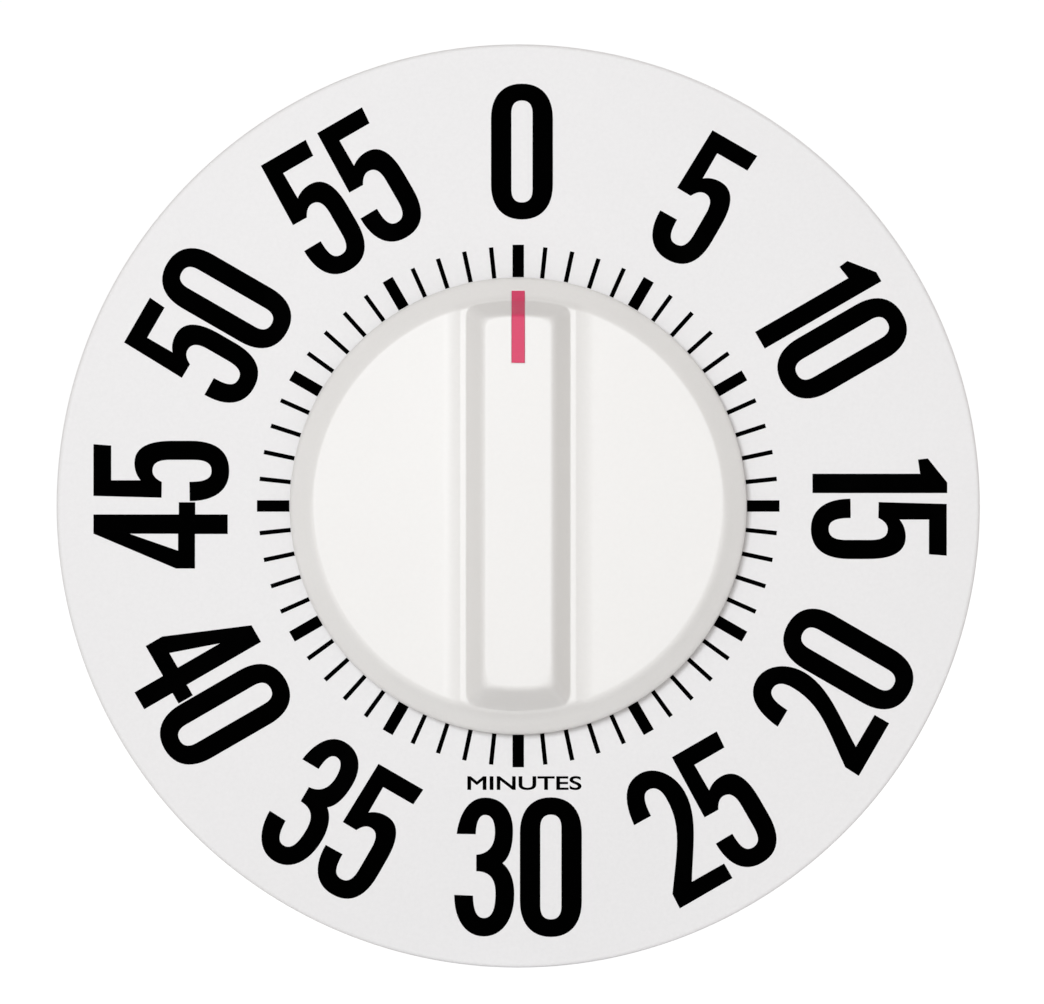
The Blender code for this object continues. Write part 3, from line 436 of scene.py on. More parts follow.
def polar(radius, degrees, centre=(0.0, 0.0)):
    """A point at this distance and direction, anticlockwise from the right."""
    turn = math.radians(degrees)
    return (centre[0] + radius * math.cos(turn), centre[1] + radius * math.sin(turn))


# %% [markdown]
# ## The dial
# A 178 mm disc of satin white plastic, with its edge turned back and softly rounded. Behind it
# stands a ring that centres the case, and posts for the screws.

# %% Dial disc
DIAL_R, DIAL_FRONT, DIAL_BACK, RIM_BACK = 89.0, 38.0, 35.5, 32.0
DIAL_HOLE, RIM_WALL = 5.0, 2.0
RING_OUTER, RING_INNER, RING_BACK = 49.6, 48.2, 33.5
dial_profile = [
    (DIAL_HOLE, DIAL_FRONT), (DIAL_R, DIAL_FRONT), (DIAL_R, RIM_BACK),
    (DIAL_R - RIM_WALL, RIM_BACK), (DIAL_R - RIM_WALL, DIAL_BACK), (RING_OUTER, DIAL_BACK),
    (RING_OUTER, RING_BACK), (RING_INNER, RING_BACK), (RING_INNER, DIAL_BACK),
    (DIAL_HOLE, DIAL_BACK),
]
dial_profile = soften(dial_profile, {1: 0.8, 2: 0.5, 3: 0.5, 4: 0.8})
dial_bm = lathe(dial_profile, 240)
SCREW_CIRCLE = 43.0
SCREW_PLACES = [polar(SCREW_CIRCLE, 90 * i) for i in range(4)]
MOVEMENT_SCREWS = [(-27.0, 1.0), (27.0, 1.0), (18.0, -29.0)]


def merge_in(target, extra):
    """Adds a bmesh to another one."""
    mesh = bpy.data.meshes.new("extra")
    extra.to_mesh(mesh)
    extra.free()
    target.from_mesh(mesh)
    bpy.data.meshes.remove(mesh)


def post(at, hole, radius, end):
    """A hollow post behind the dial, rooted just inside the plastic."""
    root = DIAL_BACK + 0.1
    merge_in(dial_bm, lathe([(hole, root), (radius, root), (radius, end), (hole, end)], 32, at))


for at in SCREW_PLACES:
    post(at, 1.8, 3.8, 30.3)
for at in MOVEMENT_SCREWS:
    post(at, 1.5, 3.0, 33.8)
dial_mesh = bpy.data.meshes.new("dial_disc")
dial_bm.to_mesh(dial_mesh)
dial_bm.free()
finish_piece("dial_disc", dial_mesh, dial_white, "housing", ["dial_plate"])

# %% [markdown]
# ## Sixty ticks
# Every minute has a short line and every fifth a broad bar. They repeat by a rule, so Geometry
# Nodes lay them: one bar shape on sixty points, each turned by its own number. The tree's
# inputs are the sizes, so the same tree could mark another dial.


# %% Small helpers for node trees
def add_node(tree, kind, **values):
    """A node with some of its plain settings filled in."""
    made = tree.nodes.new(kind)
    for name, value in values.items():
        setattr(made, name, value)
    return made


def sum_of(tree, operation, a, b):
    """A maths node on two sockets or numbers."""
    made = add_node(tree, "ShaderNodeMath", operation=operation)
    for slot_in, value in zip(made.inputs, (a, b)):
        if isinstance(value, (int, float)):
            slot_in.default_value = value
        else:
            linked(tree, value, slot_in)
    return made.outputs["Value"]


def modifier_mesh(name, tree, values):
    """Runs a geometry tree on an empty mesh, with its inputs set by identifier."""
    holder = bpy.data.objects.new(name, bpy.data.meshes.new(name))
    scene.collection.objects.link(holder)
    modifier = holder.modifiers.new("tree", "NODES")
    modifier.node_group = tree
    for item in tree.interface.items_tree:
        if item.in_out == "INPUT" and item.name in values:
            modifier[item.identifier] = values[item.name]
    return settled(holder)


def geometry_tree(name, inputs):
    """A geometry tree with named inputs: {name: (socket type, value)}."""
    tree = bpy.data.node_groups.new(name, "GeometryNodeTree")
    for label, (kind, value) in inputs.items():
        socket = tree.interface.new_socket(label, in_out="INPUT", socket_type=kind)
        if value is not None:
            socket.default_value = value
    tree.interface.new_socket("Geometry", in_out="OUTPUT", socket_type="NodeSocketGeometry")
    return tree, tree.nodes.new("NodeGroupInput").outputs, tree.nodes.new("NodeGroupOutput")


# %% The tick tree
FLOAT, INT = "NodeSocketFloat", "NodeSocketInt"
INK_HALF = 0.04
INK_LOW, INK_HIGH = DIAL_FRONT - INK_HALF, DIAL_FRONT + INK_HALF
ticks, given, result = geometry_tree(
    "minute_ticks",
    {
        "Count": (INT, 60), "Broad Every": (INT, 5),
        "Thin Width": (FLOAT, 0.84), "Thin Inner": (FLOAT, 44.1), "Thin Outer": (FLOAT, 50.1),
        "Broad Width": (FLOAT, 2.2), "Broad Inner": (FLOAT, 44.1), "Broad Outer": (FLOAT, 50.35),
        "Low": (FLOAT, INK_LOW), "High": (FLOAT, INK_HIGH),
        "Ink": ("NodeSocketMaterial", None),
    },
)


def tick_bar(tree, width, inner, outer):
    """One bar with its own width and its two radii, standing at twelve o'clock."""
    size = add_node(tree, "ShaderNodeCombineXYZ")
    linked(tree, width, size.inputs["X"])
    linked(tree, sum_of(tree, "SUBTRACT", outer, inner), size.inputs["Y"])
    linked(tree, sum_of(tree, "SUBTRACT", given["High"], given["Low"]), size.inputs["Z"])
    bar = add_node(tree, "GeometryNodeMeshCube")
    linked(tree, size.outputs["Vector"], bar.inputs["Size"])
    middle = add_node(tree, "ShaderNodeCombineXYZ")
    half = sum_of(tree, "MULTIPLY", sum_of(tree, "ADD", inner, outer), 0.5)
    linked(tree, half, middle.inputs["Y"])
    level = sum_of(tree, "MULTIPLY", sum_of(tree, "ADD", given["High"], given["Low"]), 0.5)
    linked(tree, level, middle.inputs["Z"])
    move = add_node(tree, "GeometryNodeTransform")
    linked(tree, bar.outputs["Mesh"], move.inputs["Geometry"])
    linked(tree, middle.outputs["Vector"], move.inputs["Translation"])
    return move.outputs["Geometry"]


points = add_node(ticks, "GeometryNodeMeshLine")
points.inputs["Offset"].default_value = (0, 0, 0)
linked(ticks, given["Count"], points.inputs["Count"])
number = add_node(ticks, "GeometryNodeInputIndex").outputs["Index"]
is_broad = add_node(ticks, "FunctionNodeCompare", data_type="INT", operation="EQUAL")
linked(ticks, sum_of(ticks, "MODULO", number, given["Broad Every"]), is_broad.inputs["A"])
turn = add_node(ticks, "ShaderNodeCombineXYZ")
angle = sum_of(ticks, "DIVIDE", sum_of(ticks, "MULTIPLY", number, -2 * math.pi), given["Count"])
linked(ticks, angle, turn.inputs["Z"])
is_thin = add_node(ticks, "FunctionNodeBooleanMath", operation="NOT")
linked(ticks, is_broad.outputs["Result"], is_thin.inputs[0])
both = add_node(ticks, "GeometryNodeJoinGeometry")
for label, chosen in (("Thin", is_thin.outputs["Boolean"]), ("Broad", is_broad.outputs["Result"])):
    bar = tick_bar(ticks, given[f"{label} Width"], given[f"{label} Inner"], given[f"{label} Outer"])
    lay = add_node(ticks, "GeometryNodeInstanceOnPoints")
    linked(ticks, points.outputs["Mesh"], lay.inputs["Points"])
    linked(ticks, chosen, lay.inputs["Selection"])
    linked(ticks, bar, lay.inputs["Instance"])
    linked(ticks, turn.outputs["Vector"], lay.inputs["Rotation"])
    linked(ticks, lay.outputs["Instances"], both.inputs["Geometry"])
real = add_node(ticks, "GeometryNodeRealizeInstances")
paint = add_node(ticks, "GeometryNodeSetMaterial")
linked(ticks, both.outputs["Geometry"], real.inputs["Geometry"])
linked(ticks, real.outputs["Geometry"], paint.inputs["Geometry"])
linked(ticks, given["Ink"], paint.inputs["Material"])
linked(ticks, paint.outputs["Geometry"], result.inputs["Geometry"])

tick_mesh = modifier_mesh("minute_ticks", ticks, {"Ink": ink_black})
finish_piece("minute_ticks", tick_mesh, ink_black, "housing")

# %% [markdown]
# ## Inch-high numbers
# The numbers are a narrow, bold face. Each digit is an outline of straight runs and free
# curves in millimetres, standing on its baseline. A 2D curve fills the outlines and cuts the
# holes, and a thickness of 0.08 mm makes the ink a closed solid that stands just proud.

# %% Outlines of the six digits that a sixty-minute dial needs
ZERO = [
    (0.0, 6.4), (0.0, 19.4), ((0.0, 23.6), (2.1, 26.2), (5.9, 26.2)),
    ((9.7, 26.2), (11.8, 23.6), (11.8, 19.4)), (11.8, 6.4),
    ((11.8, 2.2), (9.7, -0.45), (5.9, -0.45)), ((2.1, -0.45), (0.0, 2.2), (0.0, 6.4)),
]
ZERO_HOLE = [
    (3.8, 5.4), ((3.8, 3.6), (4.6, 2.8), (5.9, 2.8)), ((7.2, 2.8), (8.0, 3.6), (8.0, 5.4)),
    (8.0, 20.4), ((8.0, 22.2), (7.2, 23.0), (5.9, 23.0)),
    ((4.6, 23.0), (3.8, 22.2), (3.8, 20.4)),
]
ONE = [
    (2.95, 0.0), (6.55, 0.0), (6.55, 25.85), (4.6, 25.85), (0.0, 22.15), (0.2, 20.35),
    (2.95, 20.75),
]
TWO = [
    (0.0, 0.0), (11.6, 0.0), (11.6, 3.1), (4.4, 3.15),
    ((8.0, 9.0), (11.95, 13.6), (11.95, 18.9)), ((11.95, 22.8), (9.4, 26.1), (6.2, 26.1)),
    ((2.6, 26.1), (0.9, 23.0), (0.4, 18.2)), (4.0, 18.15),
    ((4.1, 21.2), (4.8, 22.7), (6.15, 22.7)), ((7.6, 22.7), (8.35, 21.5), (8.35, 19.5)),
    ((8.35, 13.2), (5.0, 9.8), (0.15, 3.0)),
]
THREE = [
    (0.48, 19.3), ((1.0, 23.3), (2.9, 26.15), (5.9, 26.15)),
    ((9.2, 26.15), (11.2, 23.6), (11.2, 19.9)), ((11.2, 17.1), (10.6, 14.7), (9.15, 13.65)),
    ((10.7, 12.4), (11.45, 10.3), (11.45, 7.7)), ((11.45, 2.7), (9.0, -0.35), (5.65, -0.35)),
    ((2.1, -0.35), (0.0, 2.9), (0.0, 7.5)), (3.5, 7.35),
    ((3.55, 4.5), (4.2, 3.05), (5.65, 3.05)), ((7.4, 3.05), (7.95, 5.1), (7.95, 7.9)),
    ((7.95, 10.9), (6.6, 12.1), (4.25, 12.15)), (4.25, 15.2),
    ((6.7, 15.4), (7.85, 17.1), (7.85, 19.6)), ((7.85, 21.7), (7.2, 22.95), (5.9, 22.95)),
    ((4.6, 22.95), (4.1, 21.3), (4.03, 19.25)),
]
FOUR = [
    (6.7, 25.75), (10.3, 25.75), (10.3, 9.3), (12.65, 9.3), (12.65, 6.25), (10.3, 6.25),
    (10.3, 0.0), (6.65, 0.0), (6.65, 6.3), (0.0, 6.3), (0.0, 9.9),
]
FOUR_HOLE = [(6.7, 9.45), (6.7, 19.2), (3.3, 9.45)]
FIVE = [
    (1.0, 25.75), (10.85, 25.75), (10.6, 22.45), (3.9, 22.45), (3.9, 16.6),
    ((4.9, 17.5), (6.1, 17.85), (7.3, 17.85)), ((10.4, 17.85), (11.5, 14.9), (11.5, 10.7)),
    (11.5, 7.1), ((11.5, 2.3), (9.6, -0.3), (5.75, -0.3)),
    ((2.0, -0.3), (0.0, 2.6), (0.0, 7.2)), (3.6, 7.25),
    ((3.6, 4.3), (4.2, 3.0), (5.75, 3.0)), ((7.4, 3.0), (7.95, 4.3), (7.95, 6.6)),
    (7.95, 11.1), ((7.95, 13.5), (7.2, 14.5), (5.8, 14.5)),
    ((4.8, 14.5), (4.1, 13.7), (3.6, 12.7)), (0.65, 12.75),
]
DIGITS = {
    "0": [ZERO, ZERO_HOLE], "1": [ONE], "2": [TWO], "3": [THREE], "4": [FOUR, FOUR_HOLE],
    "5": [FIVE],
}


def trace(path, steps=12):
    """The points along an outline: a pair is a straight run, a triple a curve."""
    points = [Vector(path[0])]
    for part in path[1:]:
        if isinstance(part[0], (int, float)):
            points.append(Vector(part))
            continue
        a, (b, c, d) = points[-1], (Vector(p) for p in part)
        for i in range(1, steps + 1):
            t = i / steps
            s = 1 - t
            points.append(a * s**3 + b * 3 * t * s * s + c * 3 * t * t * s + d * t**3)
    if (points[-1] - points[0]).length < 0.001:
        points.pop()
    return points


# %% Where each number stands
# text, turn clockwise, baseline above the dial's centre, left edge of each digit, height share
NUMBERS = [
    ("0", 0, 55.71, (-5.18,), 0.978), ("5", 30, 55.84, (-4.73,), 0.992),
    ("10", 60, 56.37, (-9.12, -0.99), 1.0), ("15", 90, 56.77, (-9.1, -1.34), 1.0),
    ("20", -60, -82.79, (-12.18, 0.37), 1.005), ("25", -30, -82.68, (-11.75, 0.5), 1.005),
    ("30", 0, -82.54, (-12.27, 0.39), 1.005), ("35", 30, -82.38, (-12.05, 0.58), 1.003),
    ("40", 60, -81.95, (-12.46, 0.61), 1.005), ("45", -90, 56.05, (-11.99, 1.0), 1.0),
    ("50", -60, 55.86, (-11.62, 0.69), 0.995), ("55", -30, 55.97, (-11.11, 1.42), 0.993),
]
INK_SPREAD = 0.06


def flat_ink(name, outlines):
    """A closed sheet of ink from outlines. An outline inside another one cuts a hole."""
    curve = bpy.data.curves.new(name, "CURVE")
    curve.dimensions = "2D"
    curve.fill_mode = "BOTH"
    curve.extrude = (INK_HIGH - INK_LOW) / 2
    curve.offset = INK_SPREAD
    for points in outlines:
        spline = curve.splines.new("POLY")
        spline.points.add(len(points) - 1)
        for target, (x, y) in zip(spline.points, points):
            target.co = (x, y, 0, 1)
        spline.use_cyclic_u = True
    holder = bpy.data.objects.new(name, curve)
    scene.collection.objects.link(holder)
    mesh = settled(holder)
    bm = bmesh.new()
    bm.from_mesh(mesh)
    bmesh.ops.translate(bm, vec=(0, 0, DIAL_FRONT), verts=bm.verts)
    return closed_mesh(bm, name)


for text, turn, base, lefts, share in NUMBERS:
    lay = Matrix.Rotation(math.radians(-turn), 2)
    outlines = []
    for digit, left in zip(text, lefts):
        for path in DIGITS[digit]:
            outlines.append([lay @ Vector((x + left, y * share + base)) for x, y in trace(path)])
    ink = flat_ink(f"number_{text}", outlines)
    finish_piece(f"number_{text}", ink, ink_black, "housing")

# %% [markdown]
# ## A word on the dial
# Under the knob the real dial is printed with a line of small type. Ours only says what the
# numbers count. Text becomes a mesh first, and is then laid on the dial.

# %% MINUTES
WORD_WIDTH, WORD_HEIGHT, WORD_MIDDLE = 22.0, 2.7, (1.2, -53.4)
word_curve = bpy.data.curves.new("minutes_word", "FONT")
word_curve.body = "MINUTES"
word_curve.bevel_depth = 0.018
word_curve.bevel_resolution = 0
word_object = bpy.data.objects.new("minutes_word", word_curve)
scene.collection.objects.link(word_object)
word_mesh = settled(word_object)
low = [min(v.co[i] for v in word_mesh.vertices) for i in range(3)]
high = [max(v.co[i] for v in word_mesh.vertices) for i in range(3)]
sizes = (WORD_WIDTH, WORD_HEIGHT, INK_HIGH - INK_LOW)
scales = [size / (b - a) for size, a, b in zip(sizes, low, high)]
middle = [(a + b) / 2 for a, b in zip(low, high)]
bm = bmesh.new()
bm.from_mesh(word_mesh)
bmesh.ops.translate(bm, vec=[-m for m in middle], verts=bm.verts)
bmesh.ops.scale(bm, vec=scales, verts=bm.verts)
bmesh.ops.translate(bm, vec=(*WORD_MIDDLE, DIAL_FRONT), verts=bm.verts)
word_mesh = closed_mesh(bm, "minutes_word")
finish_piece("minutes_word", word_mesh, ink_black, "housing")

# %% [markdown]
# ## The knob
# The knob is one moulding: a round skirt, a wide chamfer, a flat face, and a grip bar whose
# ends slope up from the chamfer. Its front is a height for every place on the face, so we write
# that rule down and lay a net of points over it. The net's columns run along the bar and its
# rows follow the circle, so that every edge of the bar falls on a line of the net. Where two
# slopes meet, a smooth minimum rounds the edge as a mould does.

# %% The knob's sizes
KNOB_BASE, KNOB_FACE, KNOB_TOP = 38.6, 47.5, 56.0
KNOB_R, FACE_R, TOP_R, POINTER_END_R = 43.9, 39.6, 35.2, 36.6
LEDGE, LEDGE_HALF, FLARE_END = 48.2, 11.1, 14.6
BAR_FOOT, BAR_HEAD = 9.95, 6.85
SHOULDER_R = 43.3
EDGE_SOFTNESS, CORNER_SOFTNESS, FOOT_SOFTNESS = 1.8, 5.0, 0.35
END_SOFTNESS, RIM_SOFTNESS = 1.5, 1.2
POINTER_HALF, POINTER_INNER, POINTER_OUTER = 1.25, 27.3, 41.3
GROOVE_DEPTH, GROOVE_GAP = 0.35, 0.06
RIM_EDGE, SKIRT_EDGE = 0.3, 0.4


def soft_min(a, b, reach):
    """The smaller of two heights, with the change between them rounded."""
    near = max(reach - abs(a - b), 0.0) / reach
    return min(a, b) - near * near * reach / 4


def soft_max(a, b, reach):
    """The larger of two heights, rounded in the same way."""
    return -soft_min(-a, -b, reach)


def face_height(x):
    """The face, which flares up to a narrow ledge beside the bar."""
    rise = min(max((FLARE_END - abs(x)) / (FLARE_END - LEDGE_HALF), 0.0), 1.0)
    return KNOB_FACE + (LEDGE - KNOB_FACE) * rise**2.2


def knob_height(x, y):
    """The height of the knob's front at a place on its face."""
    radius = math.hypot(x, y)
    side = KNOB_TOP + (BAR_HEAD - abs(x)) * (KNOB_TOP - LEDGE) / (BAR_FOOT - BAR_HEAD)
    top_r = POINTER_END_R if y > 0 else TOP_R
    end = KNOB_TOP + (top_r - radius) * (KNOB_TOP - KNOB_FACE) / (FACE_R - top_r)
    bar = soft_min(KNOB_TOP, soft_min(side, end, CORNER_SOFTNESS), EDGE_SOFTNESS)
    face = soft_max(face_height(x), bar, FOOT_SOFTNESS)
    chamfer = KNOB_FACE - (radius - FACE_R) - max(radius - SHOULDER_R, 0.0) ** 2
    return soft_min(face, soft_max(chamfer, end, END_SOFTNESS), RIM_SOFTNESS)


# %% Rows and columns of the net
def spread(start, end, step):
    """Evenly spaced values from start to end, both included."""
    count = max(round(abs(end - start) / step), 1)
    return [start + (end - start) * i / count for i in range(count + 1)]


half_columns = spread(0.0, 1.1, 0.55) + spread(POINTER_HALF, 5.6, 0.9)
half_columns += spread(5.9, 11.4, 0.16) + spread(11.7, 15.0, 0.3)
groove_wall = POINTER_HALF + GROOVE_GAP
half_columns += [groove_wall, groove_wall + 0.02]
half_columns = sorted(set(half_columns))
columns = [-x for x in reversed(half_columns[1:])] + half_columns
rings = spread(KNOB_R, 40.4, 0.35) + spread(40.2, 33.8, 0.16)[1:]
SQUARE_FROM = rings[-1]
print("columns:", len(columns), "rings:", len(rings))


def in_groove(x, y):
    """The shallow bed of the red pointer, towards zero."""
    wide = abs(x) < groove_wall + 0.01
    return wide and POINTER_INNER - GROOVE_GAP < y < POINTER_OUTER + GROOVE_GAP


def bar_line(x):
    """The points of one column of the net, from the bottom of the knob to its top."""
    top = [math.sqrt(max(r * r - x * x, 0.0)) for r in rings]
    inside = spread(-30.0, 30.0, 2.5)
    inside += [POINTER_INNER - GROOVE_GAP - 0.02, POINTER_INNER - GROOVE_GAP + 0.01]
    limit = math.sqrt(SQUARE_FROM**2 - x * x)
    inside = sorted(inside + [0.5 * (30.0 + limit), -0.5 * (30.0 + limit)])
    rows = [-y for y in top] + inside + top[::-1]
    return [(x, y, knob_height(x, y) - (GROOVE_DEPTH if in_groove(x, y) else 0)) for y in rows]


# %% Weave the net and close it with the skirt
knob_bm = bmesh.new()
net = [[knob_bm.verts.new(p) for p in bar_line(x)] for x in columns]
for one, two in zip(net, net[1:]):
    for i in range(len(one) - 1):
        knob_bm.faces.new((one[i], two[i], two[i + 1], one[i + 1]))

side_turns = spread(0.0, 1.0, 1 / 60)
for side, line in ((1, net[-1]), (-1, net[0])):
    edge_x = columns[-1] if side > 0 else columns[0]
    fans = []
    for j, radius in enumerate(rings):
        low_end, high_end = line[j], line[len(line) - 1 - j]
        first = math.atan2(-math.sqrt(radius**2 - edge_x**2), abs(edge_x))
        ring = [low_end]
        for t in side_turns[1:-1]:
            turn = first * (1 - 2 * t)
            x, y = side * radius * math.cos(turn), radius * math.sin(turn)
            ring.append(knob_bm.verts.new((x, y, knob_height(x, y))))
        fans.append(ring + [high_end])
    for outer, inner in zip(fans, fans[1:]):
        for i in range(len(outer) - 1):
            knob_bm.faces.new((outer[i], inner[i], inner[i + 1], outer[i + 1]))
    inside_line = line[len(rings) - 1 : len(line) - len(rings) + 1]
    knob_bm.faces.new(fans[-1] + inside_line[-2:0:-1])

rim = [e for e in knob_bm.edges if e.is_boundary]
skirt = knob_height(0.0, KNOB_R) - KNOB_BASE - (RIM_EDGE + SKIRT_EDGE)
for drop in (RIM_EDGE, skirt, SKIRT_EDGE):
    moved = bmesh.ops.extrude_edge_only(knob_bm, edges=rim)["geom"]
    verts = [g for g in moved if isinstance(g, bmesh.types.BMVert)]
    rim = [g for g in moved if isinstance(g, bmesh.types.BMEdge) and g.is_boundary]
    bmesh.ops.translate(knob_bm, vec=(0, 0, -drop), verts=verts)
bmesh.ops.scale(knob_bm, vec=(0.995, 0.995, 1.0), verts=verts)
bmesh.ops.contextual_create(knob_bm, geom=rim)
bmesh.ops.triangulate(knob_bm, faces=[f for f in knob_bm.faces if len(f.verts) > 4])
knob_mesh = closed_mesh(knob_bm, "knob_front")
print("knob front:", len(knob_mesh.polygons), "faces")

# %% [markdown]
# ## Inside the knob
# A moulded knob is hollow, so that its walls cool evenly. Cutters take out the inside and the
# hub's D-shaped bore, which is how the knob grips the arbor.


# %% Hollow the knob
def bench_object(name, mesh):
    """A helper object on the bench, for a Boolean."""
    made = bpy.data.objects.new(name, mesh)
    scene.collection.objects.link(made)
    return made


def bench_box(name, low, high):
    """A box between two corners, for a Boolean."""
    bm = bmesh.new()
    bmesh.ops.create_cube(bm, size=1.0)
    low, high = Vector(low), Vector(high)
    bmesh.ops.scale(bm, vec=high - low, verts=bm.verts)
    bmesh.ops.translate(bm, vec=(high + low) / 2, verts=bm.verts)
    return bench_object(name, closed_mesh(bm))


def turned(name, profile, steps, at=(0.0, 0.0)):
    """A lathe shape for a Boolean, with each flat end made one face."""
    bm = lathe(profile, steps, at)
    bmesh.ops.remove_doubles(bm, verts=bm.verts, dist=SAME_POINT)
    bmesh.ops.dissolve_limit(bm, angle_limit=0.003, verts=bm.verts, edges=bm.edges)
    return bench_object(name, closed_mesh(bm))


def carve(obj, tools, operation="DIFFERENCE"):
    """Cuts the tools from the object, or joins them to it, and clears them away."""
    for tool in tools:
        change = obj.modifiers.new(tool.name, "BOOLEAN")
        change.operation = operation
        change.object = tool
    mesh = settled(obj)
    for tool in tools:
        bpy.data.objects.remove(tool)
    return bench_object("carved", mesh)


CEILING, INSIDE_R, CUT_FROM = 44.9, 41.3, 37.0
HUB_R, HUB_END, BORE_R, BORE_FLAT = 5.4, 39.4, 3.0, 1.9
hollow = [(0, CEILING), (38.5, CEILING), (INSIDE_R, 42.1), (INSIDE_R, CUT_FROM), (0, CUT_FROM)]
knob_body = bench_object("knob_body", knob_mesh)
knob_body = carve(
    knob_body,
    [
        turned("hollow", hollow, 96),
        bench_box("bar_hollow", (-4.3, -32.5, CEILING - 1), (4.3, 32.5, 53.4)),
    ],
)
hub = turned("hub", [(0, 54.4), (HUB_R, 54.4), (HUB_R, HUB_END), (0, HUB_END)], 48)
knob_body = carve(knob_body, [hub], "UNION")
bore = carve(
    turned("bore", [(0, 51), (BORE_R, 51), (BORE_R, CUT_FROM), (0, CUT_FROM)], 48),
    [bench_box("bore_flat", (BORE_FLAT, -5, 36), (5, 5, 52))],
)
knob_body = carve(knob_body, [bore])
knob_mesh = settled(knob_body)
finish_piece("knob_moulding", knob_mesh, knob_white, "knob_shaft", ["knob"])

# %% [markdown]
# ## The red pointer
# A strip of red plastic lies in its groove, over the bar's top, down its end and onto the
# chamfer. It follows the knob's own rule, a hair proud of the white.

# %% Pointer strip
PROUD, STRIP_BEVEL = 0.05, 0.06
near, far = POINTER_HALF - STRIP_BEVEL, POINTER_HALF
rows = spread(POINTER_INNER, 34.2, 0.7) + spread(34.4, POINTER_OUTER, 0.16)
strip = bmesh.new()
loops = []
for y in rows:
    top = knob_height(0.0, y) + PROUD
    bed, bevel = top - GROOVE_DEPTH, top - STRIP_BEVEL
    ring = [(-far, bed), (-far, bevel), (-near, top), (near, top), (far, bevel), (far, bed)]
    loops.append([strip.verts.new((x, y, z)) for x, z in ring])
for one, two in zip(loops, loops[1:]):
    for i in range(6):
        j = (i + 1) % 6
        strip.faces.new((one[i], one[j], two[j], two[i]))
strip.faces.new(loops[0])
strip.faces.new(loops[-1])
finish_piece(
    "pointer_strip", closed_mesh(strip), pointer_red, "knob_shaft",
    ["pointer_inlay"],
)

# %% [markdown]
# ## The rear case
# The cup that holds the movement is turned first, then screw columns, magnet cups and the
# stand's channels are joined to it, and the pockets, holes and sound slots are cut. The
# cutters of the round pockets carry a chamfer, so those openings get the soft lip of a moulded
# part.

# %% The cup and what stands inside it
CASE_R, CASE_TOP = 52.0, 35.2
MAGNET_R, MAGNET_THICK = 11.0, 4.0
MAGNET_PLACES = [(-22.0, 28.0), (22.0, 28.0), (0.0, -24.0)]
MAGNET_NODES = ["magnet_left", "magnet_right", "magnet_bottom"]
STAND_HALF, STAND_PIVOT, STAND_FOOT, STAND_Z, WIRE_R = 32.0, 12.0, -80.0, 2.0, 1.2
LIP, LIP_OVER = 0.35, 0.4
FLOOR_INSIDE, COLUMN_R, CUP_R, BOSS_R = 1.0, 4.2, 13.1, 4.6
GROOVE_HALF, RAIL_HALF, PIVOT_IN, PIVOT_OUT = 1.55, 3.35, 24.6, 31.0
CASE_TURN = 0.4


def plug(name, radius, low, high, at, steps=48):
    """A plain cylinder between two heights."""
    return turned(name, [(0, high), (radius, high), (radius, low), (0, low)], steps, at)


def pocket(name, radius, depth, at, steps=64):
    """A cutter for a round pocket in the back, with a chamfered lip."""
    rim = (radius + LIP + LIP_OVER, -LIP_OVER)
    profile = [(0, depth), (radius, depth), (radius, LIP), rim, (0, -LIP_OVER)]
    return turned(name, profile, steps, at)


def slot_cutter(name, length, width, low, high):
    """A cutter for a round-ended slot along x."""
    half, reach = width / 2, length / 2 - width / 2
    bm = bmesh.new()
    outline = [polar(half, -90 + 15 * i, (reach, 0)) for i in range(13)]
    outline += [polar(half, 90 + 15 * i, (-reach, 0)) for i in range(13)]
    face = bm.faces.new([bm.verts.new((x, y, low)) for x, y in outline])
    moved = bmesh.ops.extrude_face_region(bm, geom=[face])["geom"]
    verts = [g for g in moved if isinstance(g, bmesh.types.BMVert)]
    bmesh.ops.translate(bm, vec=(0, 0, high - low), verts=verts)
    return bm


def channel(side):
    """The raised floor of one stand groove, which ends in the round wall."""
    ways = [side * STAND_HALF - RAIL_HALF, side * STAND_HALF + RAIL_HALF]
    outline = [(x, -math.sqrt((CASE_R - 1) ** 2 - x * x)) for x in ways]
    outline += [(x, 17.0) for x in reversed(ways)]
    bm = bmesh.new()
    face = bm.faces.new([bm.verts.new((x, y, FLOOR_INSIDE)) for x, y in outline])
    moved = bmesh.ops.extrude_face_region(bm, geom=[face])["geom"]
    verts = [g for g in moved if isinstance(g, bmesh.types.BMVert)]
    bmesh.ops.translate(bm, vec=(0, 0, 4.4), verts=verts)
    return bench_object(f"channel_{side}", closed_mesh(bm))


cup = [(0, 0), (CASE_R, 0), (CASE_R, CASE_TOP), (50.0, CASE_TOP), (50.0, 2.0), (0, 2.0)]
case = turned("case", soften(cup, {1: 3.0, 2: 0.4, 3: 0.4, 4: 1.0}), 192)
case.data.transform(Matrix.Rotation(math.radians(CASE_TURN), 4, "Z"))
inside = [
    plug(f"column_{i}", COLUMN_R, FLOOR_INSIDE, 30.0, at) for i, at in enumerate(SCREW_PLACES)
]
inside += [plug(f"cup_{i}", CUP_R, FLOOR_INSIDE, 6.1, at) for i, at in enumerate(MAGNET_PLACES)]
inside += [plug("bell_boss", BOSS_R, FLOOR_INSIDE, 4.0, (0, 0)), channel(-1), channel(1)]
for side in (-1, 1):
    near, far = sorted((side * PIVOT_IN, side * PIVOT_OUT))
    inside.append(bench_box(f"pivot_block_{side}", (near, 8.2, FLOOR_INSIDE), (far, 15.8, 5.2)))
case = carve(case, inside, "UNION")

